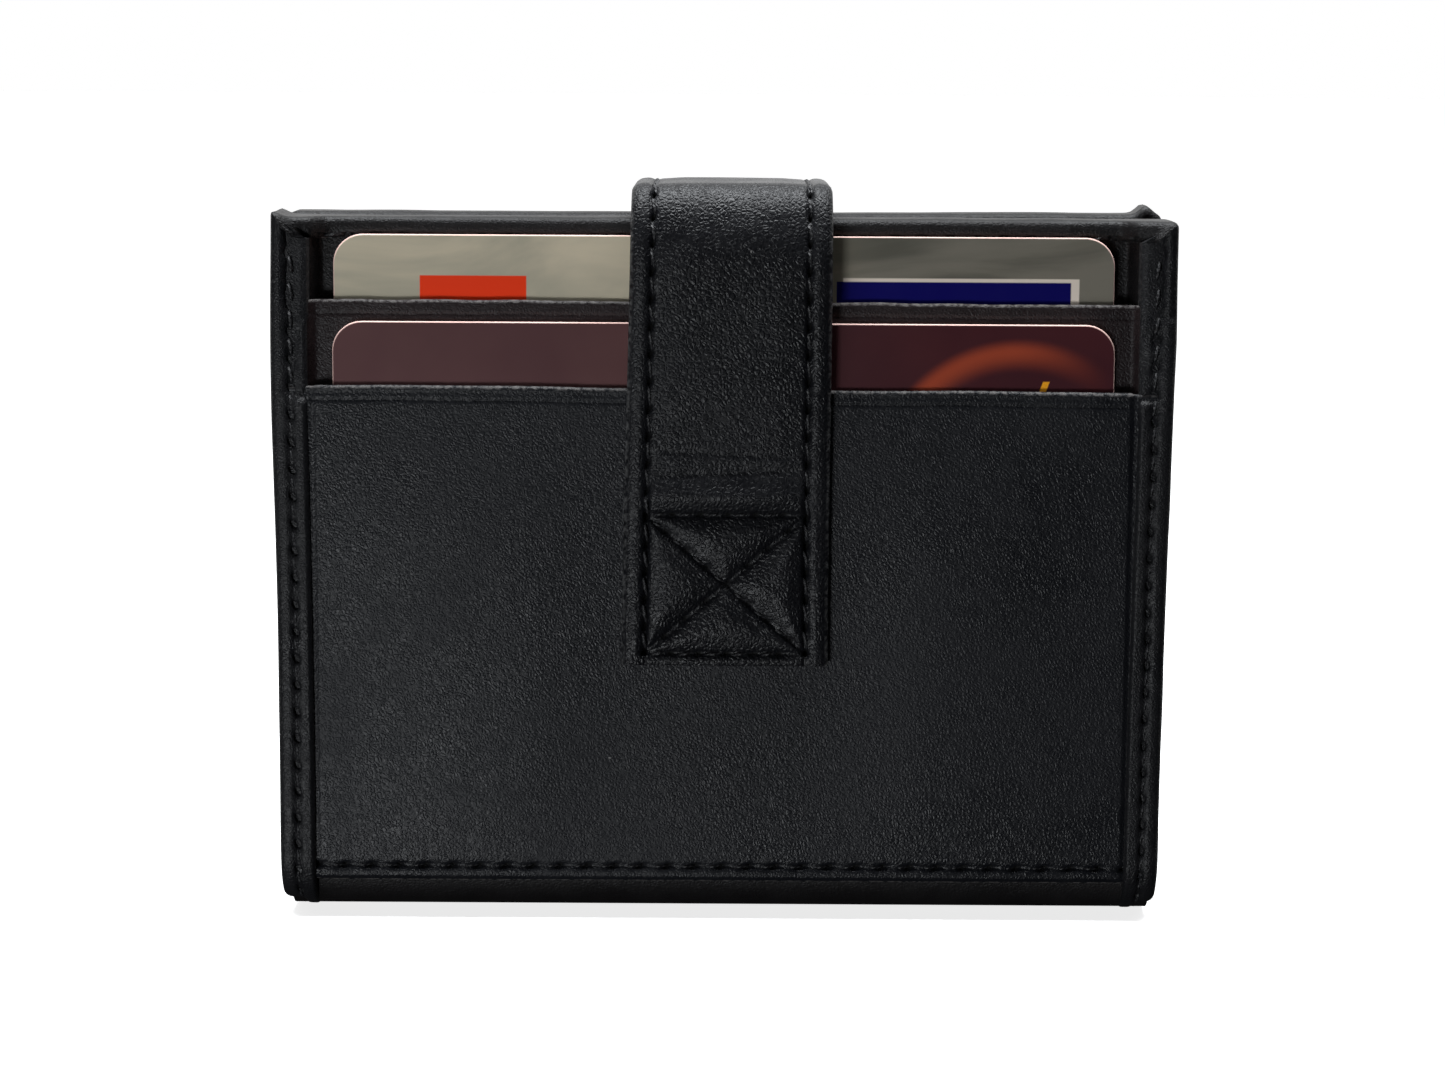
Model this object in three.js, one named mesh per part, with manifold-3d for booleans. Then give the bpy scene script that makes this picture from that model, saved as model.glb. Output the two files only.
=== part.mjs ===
// A folding card holder in black leather, standing on its spine with its strap snapped shut.
//
// Millimetres. X runs across the width, Y from the front to the back and Z up. The origin is
// the middle of the spine's flat underside.
//
// Two covers, each a stack of thin sheets in an edge binding, fold outwards about the two
// corners of the spine. The front cover carries two card pockets and the strap, which is sewn
// down by a boxed cross, goes over the top and snaps to the back cover. The leather at each
// corner that bends is a piece of its own between the flat pieces that it joins.

import * as THREE from 'three';
import { mergeVertices } from 'three/addons/utils/BufferGeometryUtils.js';
import Module from 'manifold-3d';

const wasm = await Module();
wasm.setup();

// ---------------------------------------------------------------- driving dimensions

const gap = 0.1;                    // air between two sheets that lie on each other

const card = { width: 85.6, height: 54, thick: 0.76, corner: 3.18, segments: 6 };

const cover = {
  halfWidth: 49,
  top: 77.8,
  bottom: 5.1,                      // where the sheets start, at the top of the spine's fold
  bindingBottom: 4.3,
  bindingWidth: 3.8,
  hemHeight: 2.3,
  hemWall: 0.8,
  compartment: 5.9,                 // clear depth between the two covers
};

const sheet = {
  leather: 1.0,
  board: 0.7,
  lining: 0.5,
  cardPocket: 0.9,
  innerPocket: 0.6,
  binding: 0.8,
  bindingInside: 0.6,
  hem: 0.45,
  thread: 0.15,
};

const spine = { halfWidth: 47.4, halfDepth: 4, lining: 0.5 };
const fold = { outer: 5.1, inner: 4.1, segments: 8 };

const slot = {
  upperCardTop: 75.9,
  upperPocket: { bottom: 18.1, top: 68.3 },
  lowerCardTop: 66.5,
  lowerPocket: { bottom: 4.3, top: 58.7, seam: 5.85 },
  innerUpperTop: 67.1,
  innerLowerTop: 55.1,
  mouthCorner: 1.5,                 // radius at a pocket panel's top corners
};

const strap = {
  centre: 0.7,                      // the strap sits a little to the right of the middle
  leather: 1.0,
  lining: 0.7,
  rise: 2.1,                        // air between the covers' top edges and the strap
  standOff: 0.85,                   // air between the back cover's hem and the tab
  bendOuter: 5,
  bendSegments: 8,
  halfWidthLow: 11.05,
  halfWidthHigh: 10.4,
  anchorBottom: 29,
  crease: 47.3,                     // the strap is sewn down below this height
  creaseGap: 0.15,
  tabBottom: 48.1,
  tabCorner: 8,
  seamInset: 2,
  box: { bottom: 30.3, top: 45.8 },
};

const seam = { fromEdge: 2.05, width: 0.5 };

const snap = {
  height: 58.1,
  capRadius: 6.2,
  capRise: 1.5,
  baseRadius: 4.6,
  baseThick: 0.55,
  headRadius: 1.9,
  headRise: 0.8,
  socketRadius: 5,
  socketThick: 0.6,
  postRadius: 1.6,
  postHole: 1.9,
  rivetRadius: 4.2,
  rivetHole: 4.6,
  segments: 32,
};

const finish = {
  outerLeather: { color: '#242428', roughness: 0.5, metalness: 0 },
  innerLeather: { color: '#2b292b', roughness: 0.6, metalness: 0 },
  liningCloth: { color: '#1d1c1e', roughness: 0.85, metalness: 0 },
  board: { color: '#7a6a55', roughness: 0.9, metalness: 0 },
  thread: { color: '#1a1a1c', roughness: 0.7, metalness: 0 },
  steel: { color: '#8d8d90', roughness: 0.3, metalness: 1 },
  cardGrey: { color: '#9a917e', roughness: 0.35, metalness: 0 },
  cardMaroon: { color: '#46302f', roughness: 0.35, metalness: 0 },
};

// ---------------------------------------------------------------- where the sheets lie

// Lays sheets one behind the other along Y and gives each its lowest and highest Y.
function stack(start, direction, sheets) {
  const faces = {};
  let at = start;
  for (const [name, thick] of sheets) {
    const end = at + direction * thick;
    faces[name] = [Math.min(at, end), Math.max(at, end)];
    at = end + direction * gap;
  }
  return faces;
}

const foldFace = spine.halfDepth + fold.outer;      // outer face of a cover where it leaves the fold

const back = stack(foldFace + gap + sheet.binding, -1, [
  ['binding', sheet.binding],
  ['leather', sheet.leather],
  ['board', sheet.board],
  ['lining', sheet.lining],
  ['innerUpper', sheet.innerPocket],
  ['innerLower', sheet.innerPocket],
  ['bindingInside', sheet.bindingInside],
]);

const front = stack(back.bindingInside[0] - cover.compartment, -1, [
  ['bindingInside', sheet.bindingInside],
  ['innerLower', sheet.innerPocket],
  ['innerUpper', sheet.innerPocket],
  ['lining', sheet.lining],
  ['board', sheet.board],
  ['leather', sheet.leather],
  ['hem', sheet.hem + sheet.thread],
  ['upperCard', card.thick],
  ['upperPocket', sheet.cardPocket],
  ['lowerCard', card.thick],
  ['lowerPocket', sheet.cardPocket],
  ['binding', sheet.binding],
]);

const stackHalfWidth = cover.halfWidth - sheet.binding - gap;
const stackTop = cover.top - cover.hemWall;
const bindingInner = cover.halfWidth - cover.bindingWidth;
const across = [-stackHalfWidth, stackHalfWidth];

const strapThick = strap.leather + strap.lining;
const strapBack = front.lowerPocket[0] - gap;        // the strap's sewn side, on the front
const strapFace = strapBack - strapThick;
const strapUnder = cover.top + strap.rise;
const crest = strapUnder + strapThick;
const tabInside = back.leather[1] + gap + sheet.hem + strap.standOff;
const tabFace = tabInside + strapThick;
const frontBend = [strapFace + strap.bendOuter, crest - strap.bendOuter];
const rearBend = [tabFace - strap.bendOuter, crest - strap.bendOuter];

// ---------------------------------------------------------------- building blocks

function piece(name, geometry, look, x = 0, y = 0, z = 0) {
  const mesh = new THREE.Mesh(geometry, new THREE.MeshStandardMaterial(look));
  mesh.name = name;
  mesh.position.set(x, y, z);
  return mesh;
}

const middle = ([low, high]) => (low + high) / 2;
const length = ([low, high]) => high - low;

// A flat sheet or bar that fills the given ranges of X, Y and Z.
function block(name, look, xs, ys, zs) {
  const geometry = new THREE.BoxGeometry(length(xs), length(ys), length(zs));
  return piece(name, geometry, look, middle(xs), middle(ys), middle(zs));
}

// An outline drawn in X and Z, as thick as the range of Y.
function cutSheet(outline, ys, curveSegments = card.segments) {
  const geometry = new THREE.ExtrudeGeometry(outline, {
    depth: length(ys), bevelEnabled: false, curveSegments,
  });
  geometry.rotateX(Math.PI / 2);
  geometry.translate(0, ys[1], 0);
  return geometry;
}

// A profile drawn in Y and Z, carried along X over the given range.
function carryAcross(profile, xs, curveSegments = fold.segments) {
  const geometry = new THREE.ExtrudeGeometry(profile, {
    depth: length(xs), bevelEnabled: false, curveSegments,
  });
  const toSide = new THREE.Matrix4().makeBasis(
    new THREE.Vector3(0, 1, 0), new THREE.Vector3(0, 0, 1), new THREE.Vector3(1, 0, 0));
  geometry.applyMatrix4(toSide);
  geometry.translate(xs[0], 0, 0);
  return geometry;
}

function polygon(points) {
  return new THREE.Shape(points.map(([u, v]) => new THREE.Vector2(u, v)));
}

// A rectangle with one radius for its top corners and one for its bottom corners.
function roundedOutline([x0, x1], [z0, z1], topRadius, bottomRadius) {
  const outline = new THREE.Shape();
  outline.moveTo(x0 + bottomRadius, z0);
  outline.lineTo(x1 - bottomRadius, z0);
  if (bottomRadius) outline.absarc(x1 - bottomRadius, z0 + bottomRadius, bottomRadius, -Math.PI / 2, 0);
  outline.lineTo(x1, z1 - topRadius);
  if (topRadius) outline.absarc(x1 - topRadius, z1 - topRadius, topRadius, 0, Math.PI / 2);
  outline.lineTo(x0 + topRadius, z1);
  if (topRadius) outline.absarc(x0 + topRadius, z1 - topRadius, topRadius, Math.PI / 2, Math.PI);
  outline.lineTo(x0, z0 + bottomRadius);
  if (bottomRadius) outline.absarc(x0 + bottomRadius, z0 + bottomRadius, bottomRadius, Math.PI, 1.5 * Math.PI);
  return outline;
}

// A quarter of a ring in Y and Z, from one angle to the next, a right angle on.
function quarterRing([y, z], inner, outer, fromAngle) {
  const toAngle = fromAngle + Math.PI / 2;
  const ring = new THREE.Shape();
  ring.absarc(y, z, outer, fromAngle, toAngle, false);
  ring.absarc(y, z, inner, toAngle, fromAngle, true);
  return ring;
}

// A channel in X and Y that wraps the edge of a stack, open towards the middle of the cover.
function edgeChannel(side, ys, frontWall, backWall) {
  const mouth = side * bindingInner;
  const wall = side * (cover.halfWidth - sheet.binding);
  const edge = side * cover.halfWidth;
  const [y0, y1] = ys;
  return polygon([
    [mouth, y0], [edge, y0], [edge, y1], [mouth, y1],
    [mouth, y1 - backWall], [wall, y1 - backWall], [wall, y0 + frontWall], [mouth, y0 + frontWall],
  ]);
}

// A body of revolution about Y, from a closed list of radius and Y.
function turned(profile) {
  const points = profile.map(([radius, y]) => new THREE.Vector2(radius, y));
  return new THREE.LatheGeometry(points, snap.segments);
}

// ---------------------------------------------------------------- cutting and joining

function toSolid(geometry) {
  const bare = new THREE.BufferGeometry();
  bare.setAttribute('position', geometry.getAttribute('position'));
  if (geometry.index) bare.setIndex(geometry.index);
  const merged = mergeVertices(bare, 1e-4);
  return new wasm.Manifold(new wasm.Mesh({
    numProp: 3,
    vertProperties: new Float32Array(merged.getAttribute('position').array),
    triVerts: new Uint32Array(merged.index.array),
  }));
}

function toGeometry(solid) {
  const mesh = solid.getMesh();
  const geometry = new THREE.BufferGeometry();
  geometry.setAttribute('position', new THREE.BufferAttribute(mesh.vertProperties, 3));
  geometry.setIndex(new THREE.BufferAttribute(mesh.triVerts, 1));
  geometry.computeVertexNormals();
  return geometry;
}

// The snap's axis runs along Y, so a hole for it is a round bar along Y that goes right through.
function withSnapHole(geometry, radius, ys) {
  const bar = new THREE.CylinderGeometry(radius, radius, length(ys) + 2, snap.segments);
  bar.translate(strap.centre, middle(ys), snap.height);
  return toGeometry(toSolid(geometry).subtract(toSolid(bar)));
}

// ---------------------------------------------------------------- the covers

const heights = (top) => [cover.bottom, top];

// The front cover's leather leaves the fold at the very front, then steps back behind the cards.
function frontLeather() {
  const [y0, y1] = front.leather;
  const low = -foldFace;
  const stepFrom = cover.bottom + 2.2;
  const stepTo = cover.bottom + 6.6;
  const profile = polygon([
    [low, cover.bottom], [low + sheet.leather, cover.bottom],
    [low + sheet.leather, stepFrom], [y1, stepTo],
    [y1, stackTop], [y0, stackTop],
    [y0, stepTo], [low, stepFrom],
  ]);
  return piece('front_cover_leather', carryAcross(profile, across), finish.outerLeather);
}

// A hem is an upside-down channel over the top edge of a cover's leather, board and lining.
function topHem(name, ys) {
  const [y0, y1] = ys;
  const bottom = cover.top - cover.hemHeight;
  const profile = polygon([
    [y0, bottom], [y0 + sheet.hem, bottom], [y0 + sheet.hem, stackTop + gap / 2],
    [y1 - sheet.hem, stackTop + gap / 2], [y1 - sheet.hem, bottom], [y1, bottom],
    [y1, cover.top], [y0, cover.top],
  ]);
  const reach = bindingInner - gap;
  return piece(name, carryAcross(profile, [-reach, reach]), finish.outerLeather);
}

function sideBindings(prefix, faces, frontWall, backWall) {
  const tall = cover.top - cover.bindingBottom;
  return [['left', -1], ['right', 1]].map(([word, side]) => {
    const geometry = new THREE.ExtrudeGeometry(edgeChannel(side, faces, frontWall, backWall), {
      depth: tall, bevelEnabled: false,
    });
    return piece(`${prefix}_binding_${word}`, geometry, finish.outerLeather, 0, 0, cover.bindingBottom);
  });
}

// The two seams that run up a cover's bindings, each one thread.
function sideThreads(prefix, ys) {
  return [['left', -1], ['right', 1]].map(([word, side]) => {
    const at = side * (cover.halfWidth - seam.fromEdge);
    const xs = [at - seam.width / 2, at + seam.width / 2];
    return block(`${prefix}_seam_${word}`, finish.thread, xs, ys, [cover.bottom + 1, cover.top - 2]);
  });
}

function hemThread(name, ys) {
  const height = cover.top - cover.hemHeight / 2;
  const reach = bindingInner - 2;
  return block(name, finish.thread, [-reach, reach], ys, [height - seam.width / 2, height + seam.width / 2]);
}

function cardPocket(name, ys, { bottom, top }) {
  const outline = roundedOutline(across, [bottom, top], slot.mouthCorner, 0);
  return piece(name, cutSheet(outline, ys), finish.outerLeather);
}

function innerPockets(prefix, faces) {
  return [
    block(`${prefix}_inner_pocket_upper`, finish.innerLeather, across, faces.innerUpper, heights(slot.innerUpperTop)),
    block(`${prefix}_inner_pocket_lower`, finish.innerLeather, across, faces.innerLower, heights(slot.innerLowerTop)),
  ];
}

function frontCover() {
  const group = new THREE.Group();
  const hemFace = front.leather[0] - gap - sheet.hem;
  const lowerSeam = [slot.lowerPocket.seam - seam.width / 2, slot.lowerPocket.seam + seam.width / 2];
  const pocketReach = bindingInner - 1;
  group.add(
    frontLeather(),
    block('front_stiffener', finish.board, across, front.board, [slot.upperPocket.bottom - 5, stackTop]),
    block('front_lining', finish.liningCloth, across, front.lining, heights(stackTop)),
    ...innerPockets('front', front),
    ...sideBindings('front', [front.binding[0], front.bindingInside[1]], sheet.binding, sheet.bindingInside),
    ...sideThreads('front', [front.binding[0] - sheet.thread, front.binding[0]]),
    topHem('front_top_hem', [hemFace, front.lining[1] + gap + sheet.hem]),
    hemThread('front_hem_seam', [hemFace - sheet.thread, hemFace]),
    cardPocket('upper_card_pocket', front.upperPocket, slot.upperPocket),
    cardPocket('lower_card_pocket', front.lowerPocket, slot.lowerPocket),
    block('lower_pocket_seam', finish.thread, [-pocketReach, pocketReach],
      [front.lowerPocket[0] - sheet.thread, front.lowerPocket[0]], lowerSeam),
    ...strapAnchor(),
  );
  return group;
}

function backCover() {
  const group = new THREE.Group();
  const hemFace = back.leather[1] + gap + sheet.hem;
  const leather = cutSheet(roundedOutline(across, heights(stackTop), 0, 0), back.leather);
  const board = cutSheet(roundedOutline(across, heights(stackTop), 0, 0), back.board);
  group.add(
    piece('back_cover_leather', withSnapHole(leather, snap.postHole, back.leather), finish.outerLeather),
    piece('back_stiffener', withSnapHole(board, snap.rivetHole, back.board), finish.board),
    block('back_lining', finish.liningCloth, across, back.lining, heights(stackTop)),
    ...innerPockets('back', back),
    ...sideBindings('back', [back.bindingInside[0], back.binding[1]], sheet.bindingInside, sheet.binding),
    ...sideThreads('back', [back.binding[1], back.binding[1] + sheet.thread]),
    topHem('back_top_hem', [back.lining[0] - gap - sheet.hem, hemFace]),
    hemThread('back_hem_seam', [hemFace, hemFace + sheet.thread]),
    snapStud(),
    snapRivet(),
  );
  return group;
}

// ---------------------------------------------------------------- the spine and its two folds

function spineParts() {
  const group = new THREE.Group();
  const wide = [-spine.halfWidth, spine.halfWidth];
  const liningReach = spine.halfDepth - spine.lining;
  const liningFrom = sheet.leather + gap;
  const frontFold = quarterRing([-spine.halfDepth, fold.outer], fold.inner, fold.outer, Math.PI);
  const backFold = quarterRing([spine.halfDepth, fold.outer], fold.inner, fold.outer, 1.5 * Math.PI);
  group.add(
    block('spine_leather', finish.outerLeather, wide, [-spine.halfDepth, spine.halfDepth], [0, sheet.leather]),
    block('spine_lining', finish.liningCloth, wide, [-liningReach, liningReach],
      [liningFrom, liningFrom + spine.lining]),
    piece('front_fold_leather', carryAcross(frontFold, wide), finish.outerLeather),
    piece('back_fold_leather', carryAcross(backFold, wide), finish.outerLeather),
  );
  return group;
}

// ---------------------------------------------------------------- the strap

const strapSpan = [strap.centre - strap.halfWidthHigh, strap.centre + strap.halfWidthHigh];

// The strap narrows evenly from its sewn end to the top of its leg.
function strapHalfWidth(height) {
  const share = (height - strap.anchorBottom) / (frontBend[1] - strap.anchorBottom);
  return strap.halfWidthLow + share * (strap.halfWidthHigh - strap.halfWidthLow);
}

function taperedOutline([bottom, top]) {
  const low = strapHalfWidth(bottom);
  const high = strapHalfWidth(top);
  return polygon([
    [strap.centre - low, bottom], [strap.centre + low, bottom],
    [strap.centre + high, top], [strap.centre - high, top],
  ]);
}

// Leather and lining of one flat stretch of the strap in front of the cover.
function frontPlies(prefix, zs) {
  const outer = [strapFace, strapFace + strap.leather];
  const inner = [outer[1], strapBack];
  return [
    piece(`${prefix}_leather`, cutSheet(taperedOutline(zs), outer), finish.outerLeather),
    piece(`${prefix}_lining`, cutSheet(taperedOutline(zs), inner), finish.liningCloth),
  ];
}

// The boxed cross that holds the strap down: a rectangle and its two diagonals, all one thread.
function boxCross() {
  const { bottom, top } = strap.box;
  const tall = top - bottom;
  const half = strapHalfWidth((bottom + top) / 2) - strap.seamInset;
  const ys = [strapFace - sheet.thread, strapFace];
  const bar = (long, turn, x, z) => {
    const geometry = new THREE.BoxGeometry(long, length(ys), seam.width);
    geometry.rotateY(turn);
    geometry.translate(strap.centre + x, middle(ys), (bottom + top) / 2 + z);
    return toSolid(geometry);
  };
  const diagonal = Math.hypot(2 * half, tall);
  const slope = Math.atan2(tall, 2 * half);
  const bars = [
    bar(2 * half + seam.width, 0, 0, tall / 2),
    bar(2 * half + seam.width, 0, 0, -tall / 2),
    bar(tall, Math.PI / 2, half, 0),
    bar(tall, Math.PI / 2, -half, 0),
    bar(diagonal, slope, 0, 0),
    bar(diagonal, -slope, 0, 0),
  ];
  return piece('box_cross_seam', toGeometry(bars.reduce((sum, next) => sum.add(next))), finish.thread);
}

function strapAnchor() {
  return [
    ...frontPlies('strap_anchor', [strap.anchorBottom, strap.crease - strap.creaseGap]),
    boxCross(),
  ];
}

function strapLeg() {
  const group = new THREE.Group();
  const zs = [strap.crease + strap.creaseGap, frontBend[1]];
  const ys = [strapFace - sheet.thread, strapFace];
  const reach = strapHalfWidth(zs[1]) - strap.seamInset;
  group.add(...frontPlies('strap_leg', zs));
  for (const [word, side] of [['left', -1], ['right', 1]]) {
    const at = strap.centre + side * reach;
    group.add(block(`strap_leg_seam_${word}`, finish.thread,
      [at - seam.width / 2, at + seam.width / 2], ys, [zs[0] + 1, zs[1] - 1]));
  }
  return group;
}

// Leather and lining of a bend that turns the strap through a right angle.
function bendPlies(prefix, centre, fromAngle) {
  const joint = strap.bendOuter - strap.leather;
  const inside = strap.bendOuter - strapThick;
  const outer = quarterRing(centre, joint, strap.bendOuter, fromAngle);
  const inner = quarterRing(centre, inside, joint, fromAngle);
  return [
    piece(`${prefix}_leather`, carryAcross(outer, strapSpan, strap.bendSegments), finish.outerLeather),
    piece(`${prefix}_lining`, carryAcross(inner, strapSpan, strap.bendSegments), finish.liningCloth),
  ];
}

function strapTop() {
  const group = new THREE.Group();
  const ys = [frontBend[0], rearBend[0]];
  const joint = crest - strap.leather;
  group.add(
    ...bendPlies('strap_front_bend', frontBend, Math.PI / 2),
    block('strap_top_leather', finish.outerLeather, strapSpan, ys, [joint, crest]),
    block('strap_top_lining', finish.liningCloth, strapSpan, ys, [strapUnder, joint]),
  );
  for (const [word, side] of [['left', -1], ['right', 1]]) {
    const at = strap.centre + side * (strap.halfWidthHigh - strap.seamInset);
    group.add(block(`strap_top_seam_${word}`, finish.thread,
      [at - seam.width / 2, at + seam.width / 2], [ys[0] + 1, ys[1] - 1], [crest, crest + sheet.thread]));
  }
  return group;
}

// The tab's seam runs down one side, round the rounded end and up the other.
function tabSeam(top) {
  const inset = strap.seamInset;
  const line = (from) => roundedOutline(
    [strapSpan[0] + from, strapSpan[1] - from], [strap.tabBottom + from, top], 0, strap.tabCorner - from);
  const ys = [tabFace, tabFace + sheet.thread];
  const outer = toSolid(cutSheet(line(inset - seam.width / 2), ys));
  const clear = new THREE.BoxGeometry(4 * strap.halfWidthHigh, 4, 4);
  clear.translate(strap.centre, tabFace, top + 1);
  const innerPart = toSolid(cutSheet(line(inset + seam.width / 2), [ys[0] - 1, ys[1] + 1]));
  const band = outer.subtract(innerPart).subtract(toSolid(clear));
  return piece('strap_tab_seam', toGeometry(band), finish.thread);
}

function strapTab() {
  const group = new THREE.Group();
  const zs = [strap.tabBottom, rearBend[1]];
  const outline = roundedOutline(strapSpan, zs, 0, strap.tabCorner);
  const lining = [tabInside, tabInside + strap.lining];
  const leather = [lining[1], tabFace];
  group.add(
    ...bendPlies('strap_rear_bend', rearBend, 0),
    piece('strap_tab_leather', withSnapHole(cutSheet(outline, leather), snap.postHole, leather),
      finish.outerLeather),
    piece('strap_tab_lining', withSnapHole(cutSheet(outline, lining), snap.postHole, lining),
      finish.liningCloth),
    tabSeam(zs[1] - 1),
    snapCap(),
    snapSocket(),
  );
  return group;
}

// ---------------------------------------------------------------- the snap fastener

function snapPiece(name, profile) {
  return piece(name, turned(profile), finish.steel, strap.centre, 0, snap.height);
}

// The stud stands on the back cover: a flange, a head that the socket grips, and a post.
function snapStud() {
  const face = back.leather[1];
  const flange = face + snap.baseThick;
  const postEnd = back.leather[0] + gap;
  return snapPiece('snap_stud', [
    [0, postEnd], [snap.postRadius, postEnd], [snap.postRadius, face], [snap.baseRadius, face],
    [snap.baseRadius, flange], [snap.headRadius * 0.85, flange], [snap.headRadius, flange + snap.headRise / 2],
    [snap.headRadius * 0.8, flange + snap.headRise], [0, flange + snap.headRise],
  ]);
}

// The rivet's flat head behind the leather, in a hole in the board.
function snapRivet() {
  const [y0, y1] = back.board;
  return snapPiece('snap_rivet', [[0, y0], [snap.rivetRadius, y0], [snap.rivetRadius, y1], [0, y1]]);
}

// The ring on the inside of the tab that closes round the stud's head.
function snapSocket() {
  const [y0, y1] = [tabInside - snap.socketThick, tabInside];
  const inner = snap.headRadius + 0.5;
  return snapPiece('snap_socket', [
    [inner, y0], [snap.socketRadius, y0], [snap.socketRadius, y1], [inner, y1], [inner, y0],
  ]);
}

// The domed cap on the outside of the tab, with the post that goes through it.
function snapCap() {
  const postEnd = tabInside + gap;
  const steps = 5;
  const dome = [];
  for (let i = 0; i <= steps; i += 1) {
    const angle = (i / steps) * Math.PI / 2;
    dome.push([snap.capRadius * Math.cos(angle), tabFace + 0.3 + (snap.capRise - 0.3) * Math.sin(angle)]);
  }
  dome[steps][0] = 0;
  return snapPiece('snap_cap', [
    [0, postEnd], [snap.postRadius, postEnd], [snap.postRadius, tabFace], [snap.capRadius, tabFace], ...dome,
  ]);
}

// ---------------------------------------------------------------- the two cards

function creditCard(name, look, ys, top) {
  const xs = [-card.width / 2, card.width / 2];
  const outline = roundedOutline(xs, [top - card.height, top], card.corner, card.corner);
  return piece(name, cutSheet(outline, ys), look);
}

// ---------------------------------------------------------------- the whole card holder

const cardHolder = new THREE.Group();
cardHolder.add(
  spineParts(),
  frontCover(),
  backCover(),
  strapLeg(),
  strapTop(),
  strapTab(),
  creditCard('card_upper', finish.cardGrey, front.upperCard, slot.upperCardTop),
  creditCard('card_lower', finish.cardMaroon, front.lowerCard, slot.lowerCardTop),
);

export default cardHolder;
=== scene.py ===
# %% [markdown]
# # A leather card holder with a snap strap
# Two stiff covers meet in a soft leather spine. Card pockets are layered on the front cover, folded leather
# strips bind the sides, and a strap comes over the top and snaps behind. Every piece here is laid over a
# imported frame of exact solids, so the first step is to load that frame and read its sizes.

# %% Load the frame and keep its box
import math

import bpy
import numpy as np
from mathutils import Euler, Matrix, Vector


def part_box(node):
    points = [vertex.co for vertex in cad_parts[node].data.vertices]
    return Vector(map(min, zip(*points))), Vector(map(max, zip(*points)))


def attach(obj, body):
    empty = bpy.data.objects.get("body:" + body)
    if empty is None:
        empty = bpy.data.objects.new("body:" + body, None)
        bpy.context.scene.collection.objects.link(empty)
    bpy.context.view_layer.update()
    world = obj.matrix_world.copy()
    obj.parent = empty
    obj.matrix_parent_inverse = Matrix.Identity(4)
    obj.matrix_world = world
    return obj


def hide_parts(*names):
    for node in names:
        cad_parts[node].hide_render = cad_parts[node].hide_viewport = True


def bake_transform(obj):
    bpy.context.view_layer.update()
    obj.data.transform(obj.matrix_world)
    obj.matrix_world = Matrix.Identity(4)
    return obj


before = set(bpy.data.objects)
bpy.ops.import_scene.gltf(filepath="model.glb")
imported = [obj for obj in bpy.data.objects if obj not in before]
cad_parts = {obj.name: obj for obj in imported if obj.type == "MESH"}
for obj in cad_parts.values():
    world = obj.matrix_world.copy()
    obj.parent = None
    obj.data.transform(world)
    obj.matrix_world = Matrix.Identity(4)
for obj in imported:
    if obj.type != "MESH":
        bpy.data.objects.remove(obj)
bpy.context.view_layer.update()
MM = 0.001


def corners(node):
    """Lowest and highest corner of a frame node, in millimetres."""
    return [np.array(corner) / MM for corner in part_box(node)]


BAND_LOW, BAND_HIGH = corners("front_binding_left")
HALF = -BAND_LOW[0]                      # half the holder's width
TOP = BAND_HIGH[2]                       # its height
BAND = BAND_HIGH[0] - BAND_LOW[0]        # how far a folded edge reaches in
print("half width", round(HALF, 2), "height", round(TOP, 2), "folded edge", round(BAND, 2))

# %% [markdown]
# ## The camera
# It stands in front of the holder, a little above its top, with a long lens, and looks slightly down, so
# that the top edges show as thin bright lines. It is tipped a third of a degree, as one held in the hand.

# %% Make the camera
SENSOR, LENS = 36.0, 81.2
CAMERA_AT = (0.0, -0.3647, 0.0954)
LOOK_DOWN, TIPPED = math.radians(8.485), math.radians(0.33)
camera_data = bpy.data.cameras.new("camera")
camera_data.lens, camera_data.sensor_width = LENS, SENSOR
camera_data.clip_start = 0.01
camera = bpy.data.objects.new("camera", camera_data)
facing = Euler((math.pi / 2 - LOOK_DOWN, 0, 0)).to_matrix() @ Matrix.Rotation(TIPPED, 3, "Z")
camera.rotation_euler = facing.to_euler()
camera.location = CAMERA_AT
bpy.context.scene.collection.objects.link(camera)
bpy.context.scene.camera = camera
print("camera at", CAMERA_AT, "m, lens", LENS, "mm")

# %% [markdown]
# ## Curves that everything is made of
# Leather work is smooth steps, rolls and dents, so a few one-line curves are enough. `ease` is a step with
# soft ends, `bell` is a round bump or dent, and `wander` is the slow unevenness that a hand leaves.

# %% Steps, bells and unevenness
def ease(t):
    """Soft step: 0 below 0, 1 above 1, and 3t^2 - 2t^3 in between."""
    t = np.clip(t, 0.0, 1.0)
    return t * t * (3 - 2 * t)


def bell(distance, width):
    """Round bump of height 1: e to the minus (distance / width) squared."""
    return np.exp(-(distance / width) ** 2)


def wander(seed, longest=40.0, shortest=7.0, waves=7):
    """f(u, v) between about -1 and 1: a sum of sine waves of seeded lengths and directions, in mm."""
    rng = np.random.default_rng(seed)
    pace = 2 * np.pi / rng.uniform(shortest, longest, waves)
    heading, start = rng.uniform(0, 2 * np.pi, (2, waves))

    def f(u, v):
        u, v = np.broadcast_arrays(np.asarray(u, float), np.asarray(v, float))
        phase = pace * (u[..., None] * np.cos(heading) + v[..., None] * np.sin(heading)) + start
        return np.sin(phase).sum(-1) / math.sqrt(2 * waves)
    return f


def unit(vectors):
    """The same directions with length 1."""
    return vectors / np.maximum(np.linalg.norm(vectors, axis=-1, keepdims=True), 1e-9)


def steps(low, high, gap):
    """Even numbers from low to high, about gap apart."""
    return np.linspace(low, high, max(2, int(round(abs(high - low) / gap)) + 1))


print("ease(0.5) =", ease(0.5), " bell(1, 1) =", round(float(bell(1.0, 1.0)), 3))

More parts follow.
